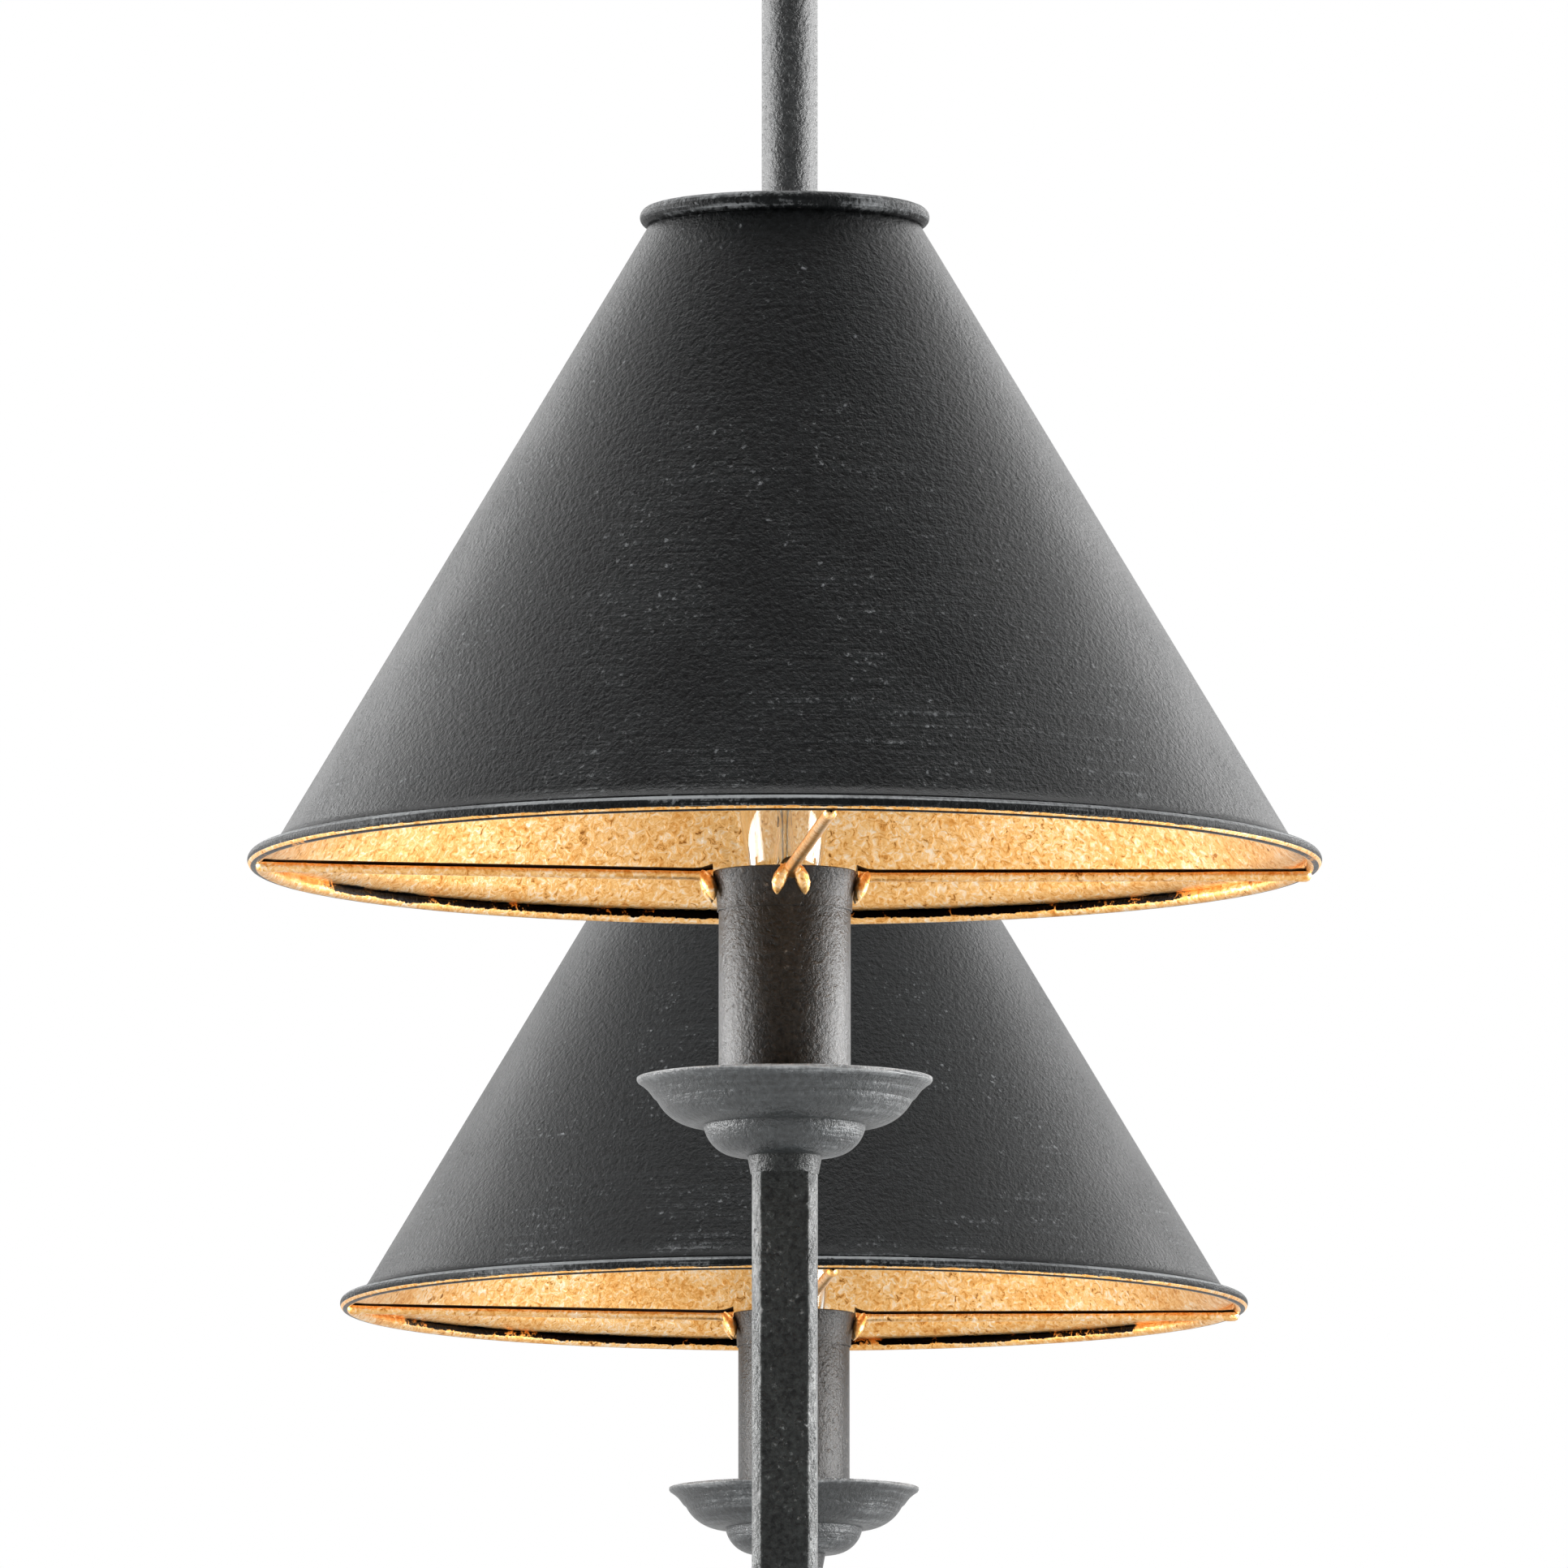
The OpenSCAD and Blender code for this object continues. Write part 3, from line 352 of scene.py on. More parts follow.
DRAWN_GRAIN = (12.0, 0.9, 3.0)
brass = bare_metal("brass_satin", "#a67a35", "#e0bb70", (1.2, 1.2, 1.2), 0.3)
zinc = bare_metal("steel_zinc_plated", "#84868a", "#c4c6c8", DRAWN_GRAIN, 0.36)
strap_steel = bare_metal("steel_phosphated", "#26282a", "#424548", DRAWN_GRAIN, 0.55)
filament_metal = bare_metal("tungsten_wire", "#8f8a80", "#c9c2b2", (1.0, 1.0, 1.0), 0.4)
print("metals", brass.name, zinc.name, strap_steel.name, filament_metal.name)

# %% [markdown]
# The rest is small: clear bulb glass, black moulded phenolic for the lamp holders, the plastic of
# wires and connectors, and the green screw for the earth wire. Glass is a smooth dielectric that
# lets all light through. The plastics have a moulded grain that breaks up their shine, drawn coarser
# than the real one so that it shows.

# %% Glass and plastics
MOULD_MM = 0.8


def moulded_plastic(name, dark, light, rough):
    material, tree, shader, place = new_material(name)
    grain = add(tree, "ShaderNodeTexNoise", {"Scale": scale_for(MOULD_MM), "Detail": 2.0},
                {"Vector": place.outputs["Object"]})
    tone = add(tree, "ShaderNodeValToRGB", None, {"Fac": grain.outputs["Fac"]})
    ramp_stops(tone, [(0.35, dark), (0.65, light)])
    bump = add(tree, "ShaderNodeBump", {"Strength": 0.2, "Distance": 0.00008},
               {"Height": grain.outputs["Fac"]})
    tree.links.new(tone.outputs["Color"], shader.inputs["Base Color"])
    tree.links.new(bump.outputs["Normal"], shader.inputs["Normal"])
    shader.inputs["Roughness"].default_value = rough
    return material


phenolic = moulded_plastic("phenolic_black", "#191716", "#262321", 0.42)
insulation = moulded_plastic("pvc_insulation", "#cfc9ba", "#ddd8cb", 0.5)
connector_plastic = moulded_plastic("connector_shell", "#c39a26", "#d8b03c", 0.45)
green_screw = moulded_plastic("green_passivated_screw", "#1c5a29", "#2c7a3b", 0.4)
clear_glass, _, glass_shader, _ = new_material("clear_bulb_glass")
glass_shader.inputs["Transmission Weight"].default_value = 1.0
glass_shader.inputs["Roughness"].default_value = 0.02
glass_shader.inputs["IOR"].default_value = 1.47
glass_shader.inputs["Base Color"].default_value = linear("#fbfbf8")
print("glass and plastics", clear_glass.name, phenolic.name, insulation.name)

# %% [markdown]
# Most solids have the right shape already and only need their finish, which goes into the material
# slots of their meshes. Every solid gets one, also those that a finer piece replaces below.

# %% Finishes of the solids
def dress(material, *names):
    for name in names:
        mesh = nodes[name].data
        mesh.materials.clear()
        mesh.materials.append(material)


def both(stem):
    return [stem + "_" + side for side in SIDES]


dress(pan_iron, "canopy", "canopy_cap_nuts", "rod_coupling", "stem_ring", "hub_body", "hub_cover", "finial")
dress(turned_iron, *both("cup"))
dress(spun_iron, *both("shade"))
dress(bar_iron, "swivel_yoke", "swivel_barrel", *both("arm"), *both("arm_collar"))
dress(rod_iron, "upper_rod", "lower_rod")
dress(sleeve_iron, *both("sleeve"), *both("shade_carrier"))
dress(leaf_gold, *both("carrier_wires"))
dress(strap_steel, "crossbar")
dress(zinc, "swivel_stud", "stud_locknut", "canopy_studs", "hub_pipe", "hub_locknut", "arm_set_screws",
      "cup_locknuts", *both("lamp_pipe"), *both("socket_bracket"))
dress(brass, "swivel_screws", "socket_contacts", *both("socket_shell"), *both("thumbscrew"),
      *both("bulb_base"))
dress(phenolic, *both("socket_body"))
dress(insulation, "stem_wire", *both("arm_wire"))
dress(connector_plastic, "wire_connectors")
dress(green_screw, "ground_screw")
dress(clear_glass, *both("bulb_glass"))
dress(filament_metal, *both("bulb_filament"))
print("dressed", sum(len(o.data.materials) > 0 for o in nodes.values()))

# %% [markdown]
# Each shade is spun from one sheet: a straight cone, rolled outwards into a bead at the top and
# flared into a thinner bead at the bottom. It could be a revolved solid, but it needs two finishes,
# black outside and leaf inside, so it is turned here from its section. The wall is the common
# tangent of the upper bead and of the flare, so its angle follows from their sizes.

# %% Sizes of the shade
RIM_R, TOP_R, SHADE_H = 111.0, 30.0, 134.0
RIM_BEAD, TOP_BEAD, WALL, FLARE, LAP = 1.6, 1.9, 1.0, 5.5, 0.4
rim_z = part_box("shade_right")[0].z + RIM_BEAD / 1000
BEAD, CROWN = (RIM_R - RIM_BEAD, 0.0), (TOP_R - TOP_BEAD, SHADE_H)
FLARE_MID = (BEAD[0] - LAP, RIM_BEAD + LAP + FLARE)
WALL_STEPS = (0.006, 0.25, 0.5, 0.75, 1.0)
LEAF_EDGE = -20.0


def arc(centre, radius, start, end, steps):
    turns = [math.radians(start + (end - start) * i / steps) for i in range(steps + 1)]
    return [(centre[0] + radius * math.cos(t), centre[1] + radius * math.sin(t)) for t in turns]


def shade_wall():
    run = (FLARE_MID[0] - CROWN[0], FLARE_MID[1] - CROWN[1])
    low_r, high_r = FLARE + WALL / 2, TOP_BEAD - WALL / 2
    angle = math.atan2(run[1], run[0]) - math.asin((low_r - high_r) / math.hypot(*run))
    normal = (-math.sin(angle), math.cos(angle))
    high = [CROWN[k] - high_r * normal[k] for k in (0, 1)]
    low = [FLARE_MID[k] - low_r * normal[k] for k in (0, 1)]

    def along(offset, t):
        return tuple(high[k] + (low[k] - high[k]) * t + offset * normal[k] for k in (0, 1))

    return math.degrees(angle), along


wall_angle, along_wall = shade_wall()
print("wall at", round(wall_angle, 2), "degrees, rim at", round(rim_z, 4))

# %% [markdown]
# The section is a closed line of points in millimetres, each with its value of wear. A narrow
# groove parts the flare from the bead. Outside, the top of the lower bead is set pale as a painted
# highlight. The leaf starts a little below the bead's widest place and is ragged there, and across
# the middle it is painted black a little further round, as painted shade. Under the bead runs a
# thin dark line, a painted shadow of the crevice between bead and wall, and in the fold behind the
# bead black is painted across the middle, as painted shade.

# %% Section of the shade
def shade_outside():
    down = wall_angle - 90
    meet = down + math.degrees(math.acos((TOP_BEAD - WALL) / TOP_BEAD))
    line = [(p, 0.68) for p in arc(CROWN, TOP_BEAD, wall_angle + 180, meet, 18)]
    line += [(along_wall(WALL / 2, t), 0.05 + 0.3 * t ** 2) for t in WALL_STEPS]
    line += [(p, 0.5) for p in arc(FLARE_MID, FLARE, down, -100, 8)[1:]]
    line += [((BEAD[0] - 1.4, RIM_BEAD + 0.3), 0.0), ((BEAD[0] - 1.3, RIM_BEAD - 0.15), 0.0)]
    # Pale top of the lower bead: a painted highlight, drawn as rub wear of 1.
    line += [(p, 1.0) for p in arc(BEAD, RIM_BEAD, 112, 34, 9)]
    line += [(p, 0.6) for p in arc(BEAD, RIM_BEAD, 26, LEAF_EDGE, 5)]
    return line


def shade_inside():
    down, under = wall_angle - 90, FLARE + WALL
    # Across the middle only, the leaf's start is painted black a little further round, as painted shade.
    line = [(p, 0.9 - 0.18 * i) for i, p in enumerate(arc(BEAD, RIM_BEAD, LEAF_EDGE - 5, -50, 5))]
    # Painted shadow: the thin dark line under the bead, black all the way round.
    line += [(p, 1.9) for p in arc(BEAD, RIM_BEAD, -55, -95, 6)]
    line += [(p, 0.0) for p in arc(BEAD, RIM_BEAD, -100, -130, 4)]
    # Painted shade of the fold behind the bead, across the middle only: these values through the flare paint
    # it black.
    line += [(p, 0.3 + 0.15 * i) for i, p in enumerate(arc(BEAD, RIM_BEAD, -140, -172, 4))]
    line += [(p, 0.9) for p in arc(BEAD, RIM_BEAD, -182, -215, 3)]
    line += [(p, 0.9 - 0.15 * i) for i, p in enumerate(arc(FLARE_MID, under, -97, -117, 5))]
    line += [(p, 0.0) for p in arc(FLARE_MID, under, -122, down, 5)]
    line += [(along_wall(-WALL / 2, t), 0.0) for t in WALL_STEPS[3::-1]]
    line += [(p, 0.0) for p in arc(CROWN, TOP_BEAD, down, wall_angle - 180, 12)[1:-1]]
    return line


outside, inside = shade_outside(), shade_inside()
print("section points", len(outside), "outside", len(inside), "inside")

# %% [markdown]
# Geometry Nodes make what is turned or follows a path. Three helpers serve them: one starts a tree
# with named inputs, one runs a tree on a base mesh of points, edges and attributes, and one cleans
# the result into a plain mesh with its faces outwards, at the origin with its place in its points.

# %% Helpers for Geometry Nodes
SHARP_EDGE = math.radians(38.0)


def node_tree(name, inputs):
    tree = bpy.data.node_groups.new(name, "GeometryNodeTree")
    tree.interface.new_socket("Geometry", in_out="INPUT", socket_type="NodeSocketGeometry")
    for socket_name, kind in inputs.items():
        tree.interface.new_socket(socket_name, in_out="INPUT", socket_type="NodeSocket" + kind)
    tree.interface.new_socket("Geometry", in_out="OUTPUT", socket_type="NodeSocketGeometry")
    return tree, tree.nodes.new("NodeGroupInput").outputs, tree.nodes.new("NodeGroupOutput").inputs


def run_tree(name, tree, values, points, edges=(), **attributes):
    base = bpy.data.meshes.new(name + "_base")
    base.from_pydata(points, edges, [])
    for attribute, numbers in attributes.items():
        base.attributes.new(attribute, "FLOAT", "POINT").data.foreach_set("value", numbers)
    maker = into_scene(name + "_maker", base)
    modifier = maker.modifiers.new("nodes", "NODES")
    modifier.node_group = tree
    for item in tree.interface.items_tree:
        if item.in_out == "INPUT" and item.name in values:
            modifier[item.identifier] = values[item.name]
    depsgraph = bpy.context.evaluated_depsgraph_get()
    mesh = bpy.data.meshes.new_from_object(maker.evaluated_get(depsgraph))
    bpy.data.objects.remove(maker)
    return finished(name, mesh)


def finished(name, mesh):
    shape = bmesh.new()
    shape.from_mesh(mesh)
    bmesh.ops.remove_doubles(shape, verts=shape.verts, dist=1e-7)
    bmesh.ops.recalc_face_normals(shape, faces=shape.faces)
    shape.to_mesh(mesh)
    shape.free()
    if mesh.materials and mesh.materials[0] is None:
        mesh.materials.pop(index=0)
    mesh.shade_smooth()
    mesh.set_sharp_from_angle(angle=SHARP_EDGE)
    mesh.name = name
    return into_scene(name, mesh)


print("helpers for node trees ready")

# %% [markdown]
# A lathe turns any section. A grid gets one row for each point of the section and one column for
# each step round the axis. The first function says which point and which turn every grid point
# stands for. The second moves it there, with the point's mark and wear, and closes the seams. A
# second finish goes on the faces whose points carry the mark.

# %% Rows and columns of the lathe
def section_grid(tree, given):
    size = add(tree, "GeometryNodeAttributeDomainSize", {"component": "MESH"},
               {"Geometry": given["Geometry"]}).outputs["Point Count"]
    rows = add(tree, "ShaderNodeMath", {"operation": "ADD", 1: 1.0}, {0: size})
    columns = add(tree, "ShaderNodeMath", {"operation": "ADD", 1: 1.0}, {0: given["Steps"]})
    grid = add(tree, "GeometryNodeMeshGrid", {"Size X": 1.0, "Size Y": 1.0},
               {"Vertices X": rows.outputs["Value"], "Vertices Y": columns.outputs["Value"]})
    here = add(tree, "ShaderNodeSeparateXYZ", None,
               {"Vector": add(tree, "GeometryNodeInputPosition").outputs[0]})
    half = add(tree, "ShaderNodeMath", {"operation": "MULTIPLY", 1: 0.5}, {0: size})
    row = add(tree, "ShaderNodeMath", {"operation": "MULTIPLY_ADD"},
              {0: here.outputs["X"], 1: size, 2: half.outputs["Value"]})
    whole = add(tree, "ShaderNodeMath", {"operation": "ROUND"}, {0: row.outputs["Value"]})
    point = add(tree, "ShaderNodeMath", {"operation": "MODULO"}, {0: whole.outputs["Value"], 1: size})
    turn = add(tree, "ShaderNodeMath", {"operation": "MULTIPLY_ADD", 1: math.tau, 2: math.pi},
               {0: here.outputs["Y"]})
    return grid.outputs["Mesh"], point.outputs["Value"], turn.outputs["Value"]


print("grid rows for a shade", len(outside) + len(inside) + 1)

# %% The lathe
def make_lathe():
    tree, given, result = node_tree("lathe", {"Steps": "Int", "Centre": "Vector", "Finish": "Material",
                                              "Marked Finish": "Material"})
    kept, point, turn = section_grid(tree, given)
    spot = add(tree, "GeometryNodeSampleIndex", {"data_type": "FLOAT_VECTOR"},
               {"Geometry": given["Geometry"], "Index": point,
                "Value": add(tree, "GeometryNodeInputPosition").outputs[0]})
    for attribute in ("mark", "wear"):
        named = add(tree, "GeometryNodeInputNamedAttribute", {"data_type": "FLOAT", "Name": attribute})
        value = add(tree, "GeometryNodeSampleIndex", {"data_type": "FLOAT"},
                    {"Geometry": given["Geometry"], "Index": point, "Value": named.outputs["Attribute"]})
        kept = add(tree, "GeometryNodeStoreNamedAttribute",
                   {"data_type": "FLOAT", "domain": "POINT", "Name": attribute},
                   {"Geometry": kept, "Value": value.outputs["Value"]}).outputs["Geometry"]
    section = add(tree, "ShaderNodeSeparateXYZ", None, {"Vector": spot.outputs["Value"]})
    cosine = add(tree, "ShaderNodeMath", {"operation": "COSINE"}, {0: turn})
    sine = add(tree, "ShaderNodeMath", {"operation": "SINE"}, {0: turn})
    x = add(tree, "ShaderNodeMath", {"operation": "MULTIPLY"},
            {0: section.outputs["X"], 1: cosine.outputs["Value"]})
    y = add(tree, "ShaderNodeMath", {"operation": "MULTIPLY"},
            {0: section.outputs["X"], 1: sine.outputs["Value"]})
    placed = add(tree, "ShaderNodeCombineXYZ", None,
                 {"X": x.outputs["Value"], "Y": y.outputs["Value"], "Z": section.outputs["Z"]})
    moved = add(tree, "GeometryNodeSetPosition", None,
                {"Geometry": kept, "Position": placed.outputs["Vector"], "Offset": given["Centre"]})
    joined = add(tree, "GeometryNodeMergeByDistance", {"Distance": 1e-6},
                 {"Geometry": moved.outputs["Geometry"]})
    real = add(tree, "GeometryNodeRealizeInstances", None, {"Geometry": joined.outputs["Geometry"]})
    first = add(tree, "GeometryNodeSetMaterial", None,
                {"Geometry": real.outputs["Geometry"], "Material": given["Finish"]})
    marked = add(tree, "GeometryNodeInputNamedAttribute", {"data_type": "FLOAT", "Name": "mark"})
    chosen = add(tree, "FunctionNodeCompare", {"data_type": "FLOAT", "operation": "GREATER_THAN", "B": 0.6},
                 {"A": marked.outputs["Attribute"]})
    second = add(tree, "GeometryNodeSetMaterial", None,
                 {"Geometry": first.outputs["Geometry"], "Selection": chosen.outputs["Result"],
                  "Material": given["Marked Finish"]})
    tree.links.new(second.outputs["Geometry"], result["Geometry"])
    return tree


lathe = make_lathe()
print("lathe nodes", len(lathe.nodes))

# %% [markdown]
# The shades are the first turned pieces. Each new piece rides on the body that it belongs to and
# hides the solids that it stands for.

# %% Spun shades
def turned(name, section, centre, finish, marked=(), marked_finish=None, steps=192):
    line = list(section) + list(marked)
    values = {"Steps": steps, "Centre": centre, "Finish": finish,
              "Marked Finish": marked_finish or finish}
    return run_tree(name, lathe, values, [(p[0] / 1000, 0.0, p[1] / 1000) for p, _ in line],
                    wear=[w for _, w in line], mark=[0.0] * len(section) + [1.0] * len(marked))


def take_place(piece, body, slot, *replaced):
    if replaced:
        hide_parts(*replaced)
    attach(piece, body)
    print(piece.name, "faces", len(piece.data.polygons), "rides on", body)


for side, way in SIDES.items():
    rim_centre = (way * LAMP_X, 0.0, rim_z)
    shade = turned("spun_shade_" + side, outside, rim_centre, spun_iron, inside, leaf_gold, 256)
    take_place(shade, "shade_" + side, "blackened_iron", "shade_" + side)

# %% [markdown]
# Wires and bars follow a path, so one sweep in Geometry Nodes makes them all. The base mesh holds
# the paths and, marked, the section. Every path is swept with the section, thick or thin by the
# girth of its points, and the result is repeated round an axis. Wear is the path's wear times the
# section's rub, so that a bar can be worn on its edges alone, and a wire gets a painted dark line,
# as painted shade, along its top alone.

# %% The sweep
def make_sweep():
    tree, given, result = node_tree("sweep", {"Count": "Int", "Step": "Float", "Turn": "Float",
                                              "Centre": "Vector", "Finish": "Material"})
    read = {}
    for attribute in ("mark", "girth", "rub", "wear"):
        named = add(tree, "GeometryNodeInputNamedAttribute", {"data_type": "FLOAT", "Name": attribute})
        read[attribute] = named.outputs["Attribute"]
    chosen = add(tree, "FunctionNodeCompare", {"data_type": "FLOAT", "operation": "GREATER_THAN", "B": 0.5},
                 {"A": read["mark"]})
    parts = add(tree, "GeometryNodeSeparateGeometry", None,
                {"Geometry": given["Geometry"], "Selection": chosen.outputs["Result"]})
    bare_path = add(tree, "GeometryNodeRemoveAttribute", {"Name": "rub"},
                    {"Geometry": parts.outputs["Inverted"]})
    lines = add(tree, "GeometryNodeMeshToCurve", None, {"Mesh": bare_path.outputs["Geometry"]})
    section = add(tree, "GeometryNodeMeshToCurve", None, {"Mesh": parts.outputs["Selection"]})
    tube = add(tree, "GeometryNodeCurveToMesh", {"Fill Caps": True},
               {"Curve": lines.outputs["Curve"], "Profile Curve": section.outputs["Curve"],
                "Scale": read["girth"]})
    worn_and_shaded = add(tree, "ShaderNodeMath", {"operation": "MULTIPLY"}, {0: read["wear"], 1: read["rub"]})
    stored = add(tree, "GeometryNodeStoreNamedAttribute",
                 {"data_type": "FLOAT", "domain": "POINT", "Name": "wear"},
                 {"Geometry": tube.outputs["Mesh"], "Value": worn_and_shaded.outputs["Value"]})
    spots = add(tree, "GeometryNodePoints", None, {"Count": given["Count"], "Position": given["Centre"]})
    turn = add(tree, "ShaderNodeMath", {"operation": "MULTIPLY_ADD"},
               {0: add(tree, "GeometryNodeInputIndex").outputs["Index"], 1: given["Step"],
                2: given["Turn"]})
    about = add(tree, "ShaderNodeCombineXYZ", None, {"Z": turn.outputs["Value"]})
    spread = add(tree, "GeometryNodeInstanceOnPoints", None,
                 {"Points": spots.outputs[0], "Instance": stored.outputs["Geometry"],
                  "Rotation": about.outputs["Vector"]})
    real = add(tree, "GeometryNodeRealizeInstances", None, {"Geometry": spread.outputs["Instances"]})
    painted = add(tree, "GeometryNodeSetMaterial", None,
                  {"Geometry": real.outputs["Geometry"], "Material": given["Finish"]})
    tree.links.new(painted.outputs["Geometry"], result["Geometry"])
    return tree


sweep = make_sweep()
print("sweep nodes", len(sweep.nodes))

# %% [markdown]
# A path is a list of points in millimetres, each with its girth and its wear, and a section is a
# closed list of points with their rub. One helper joins them into the base mesh of the sweep, and
# one makes a round section, which may be marked along a part of its turn: on the wires that mark
# is a painted dark line of shade along their top.

# %% Swept pieces
def swept(name, paths, section, centre, finish, count=1, turn=0.0):
    points, edges = [], []
    for line in paths:
        edges += [(len(points) + i, len(points) + i + 1) for i in range(len(line) - 1)]
        points += [(tuple(v / 1000 for v in spot), 0.0, girth, 0.0, wear) for spot, girth, wear in line]
    first = len(points)
    edges += [(first + i, first + (i + 1) % len(section)) for i in range(len(section))]
    points += [((x / 1000, y / 1000, 0.0), 1.0, 1.0, rub, 0.0) for (x, y), rub in section]
    spots, marks, girths, rubs, wears = [[p[k] for p in points] for k in range(5)]
    values = {"Count": count, "Step": math.tau / count, "Turn": turn, "Centre": centre, "Finish": finish}
    return run_tree(name, sweep, values, spots, edges, mark=marks, girth=girths, rub=rubs, wear=wears)


def ring_of(count, radius, marked_from=999.0, marked_to=999.0):
    turns = [360.0 * i / count for i in range(count)]
    return [((radius * math.cos(math.radians(t)), radius * math.sin(math.radians(t))),
             float(marked_from <= t <= marked_to)) for t in turns]


print("helpers for swept pieces ready")

# %% [markdown]
# Four wires hold each shade. They are brazed to the side of the carrier's ring, where the metal ran
# down in two bright drops beside each wire, and into the corner of the lower bead. A swept wire can
# swell at its ends for that, and the drops are short sweeps of their own that thin out to a point.
# Along the top of the wires a black line is painted, as painted shadow and dark reflection on
# their upper side: there the section's rub times the path's wear of 2 paints black all the way.

# %% Spider wires
carrier_low, carrier_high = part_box("shade_carrier_right")
ring_top = (carrier_high.z - rim_z) * 1000
WIRE_R, WIRE_START, WIRE_RUN, WIRE_TURN = 1.3, 15.0, 94.0, math.radians(5.0)
WIRE_GIRTHS = ((0.0, 1.75), (0.9, 1.45), (2.2, 1.12), (4.0, 1.0), (30.0, 1.0), (60.0, 1.0),
               (90.0, 1.0), (92.0, 1.1), (93.3, 1.1), (94.0, 0.85), (94.4, 0.3))
DROP_SPOTS = ((17.2, 0.6, 0.5, 0.5), (16.4, 1.5, -0.7, 0.95), (15.8, 2.2, -2.0, 1.15),
              (15.4, 2.7, -3.4, 1.05), (15.1, 2.9, -4.6, 0.7), (14.9, 2.9, -5.6, 0.15))
wire_in, wire_out = ring_top - 0.6, -1.9
# A wear of 2 with the marked top of the section paints the dark line of shade along the wires' top.
wire_line = [((WIRE_START + r, 0.0, wire_in + (wire_out - wire_in) * r / WIRE_RUN), girth, 2.0)
             for r, girth in WIRE_GIRTHS]


def brazing_drop(way):
    return [((x, way * y, wire_in + z), girth, 0.0) for x, y, z, girth in DROP_SPOTS]


wire_paths = [wire_line, brazing_drop(1), brazing_drop(-1)]
for side, way in SIDES.items():
    wires = swept("spider_wires_" + side, wire_paths, ring_of(24, WIRE_R, 208.0, 332.0),
                  (way * LAMP_X, 0.0, rim_z), leaf_gold, 4, WIRE_TURN)
    take_place(wires, "shade_" + side, "gold_leaf", "carrier_wires_" + side)

# %% [markdown]
# The ring that rides on the sleeve is turned: a lip on top, and a skirt that thins to a feather
# edge, so that sleeve and ring read as one flaring tube. The thumbscrew's boss, on the side that
# faces the stem, is a short sweep with a planed edge.

# %% Carrier rings
ring_low = (carrier_low.z - rim_z) * 1000
ring_r = (carrier_high.y - carrier_low.y) * 500
sleeve_low, sleeve_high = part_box("sleeve_right")
sleeve_r = (sleeve_high.y - sleeve_low.y) * 500
foot_r, bore_r, seat_r = sleeve_r + 0.32, sleeve_r + 0.15, sleeve_r - 0.6
lip_under, screw_z = ring_top - 0.95, ring_top - 4.7
BOSS_R, BOSS_GIRTHS = 2.6, ((0.4, 1.0), (3.0, 1.0), (3.3, 0.97), (3.5, 0.88))
BOSS_TURN = {"left": math.radians(351.0), "right": math.radians(171.0)}
skirt = [((foot_r + (ring_r - foot_r) * (i / 10) ** 1.8,
           ring_low + (ring_top - ring_low - 0.2) * i / 10), 0.1 + 0.3 * (i / 10) ** 6)
         for i in range(11)]
skirt += [((ring_r - 0.25, ring_top), 0.4), ((seat_r, ring_top), 0.2), ((seat_r, lip_under), 0.0),
          ((bore_r, lip_under), 0.0), ((bore_r, ring_low), 0.0)]
boss = [((sleeve_r + x, 0.0, screw_z), girth, 0.2) for x, girth in BOSS_GIRTHS]
for side, way in SIDES.items():
    rim_centre = (way * LAMP_X, 0.0, rim_z)
    ring = turned("carrier_ring_" + side, skirt, rim_centre, sleeve_iron, steps=128)
    take_place(ring, "shade_" + side, "blackened_iron", "shade_carrier_" + side)
    knob = swept("carrier_boss_" + side, [boss], ring_of(32, BOSS_R), rim_centre, sleeve_iron, 1,
                 BOSS_TURN[side])
    take_place(knob, "shade_" + side, "blackened_iron")

# %% [markdown]
# Each arm is one length of square bar with planed corners, bent through a quarter turn under its
# lamp. The sweep keeps the section square round the bend, and the corners carry the rub that the
# hand finishing left on every edge.

# %% Bent arms
BAR_HALF, BAR_CHAMFER, BEND = 6.75, 2.0, 45.0
LAMP_MM = LAMP_X * 1000


def bar_section(half, chamfer):
    corner = [((half, half - chamfer - 0.35), 0.0), ((half - 0.03, half - chamfer - 0.03), 0.6),
              ((half - 0.2, half - chamfer + 0.25), 0.8), ((half - chamfer + 0.25, half - 0.2), 0.8),
              ((half - chamfer - 0.03, half - 0.03), 0.6), ((half - chamfer - 0.35, half), 0.0)]
    return [((x * c - y * s, x * s + y * c), rub)
            for c, s in ((1, 0), (0, 1), (-1, 0), (0, -1)) for (x, y), rub in corner]


arm_low, arm_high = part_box("arm_right")
bar_z, arm_top = arm_low.z * 1000 + BAR_HALF, arm_high.z * 1000
arm_spots = [(arm_low.x * 1000, bar_z), (200.0, bar_z), (400.0, bar_z)]
arm_spots += arc((LAMP_MM - BEND, bar_z + BEND), BEND, -90.0, 0.0, 20)
arm_spots += [(LAMP_MM, arm_top - 60.0), (LAMP_MM, arm_top)]
arm_line = [((x, 0.0, z), 1.0, 1.0) for x, z in arm_spots]
for side, way in SIDES.items():
    arm = swept("bent_arm_" + side, [arm_line], bar_section(BAR_HALF, BAR_CHAMFER), (0.0, 0.0, 0.0),
                bar_iron, 1, 0.0 if way > 0 else math.pi)
    take_place(arm, "pendant", "blackened_iron", "arm_" + side)

# %% [markdown]
# The cup that catches the sleeve is spun too: a thin lip, a soft hollow under it and two full lobes.
# It is the same lathe with a section whose curves run into each other, so light slides over it
# instead of breaking at every step. The wear marks the lip and the bulges, which a cloth touches
# first.

# %% Spun cups
cup_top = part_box("cup_right")[1].z
CUP_WALL = 1.2
UPPER_LOBE, UPPER_R = (17.52, 0.0), 10.0
LOWER_LOBE, LOWER_R = (9.42, -8.8), 7.4


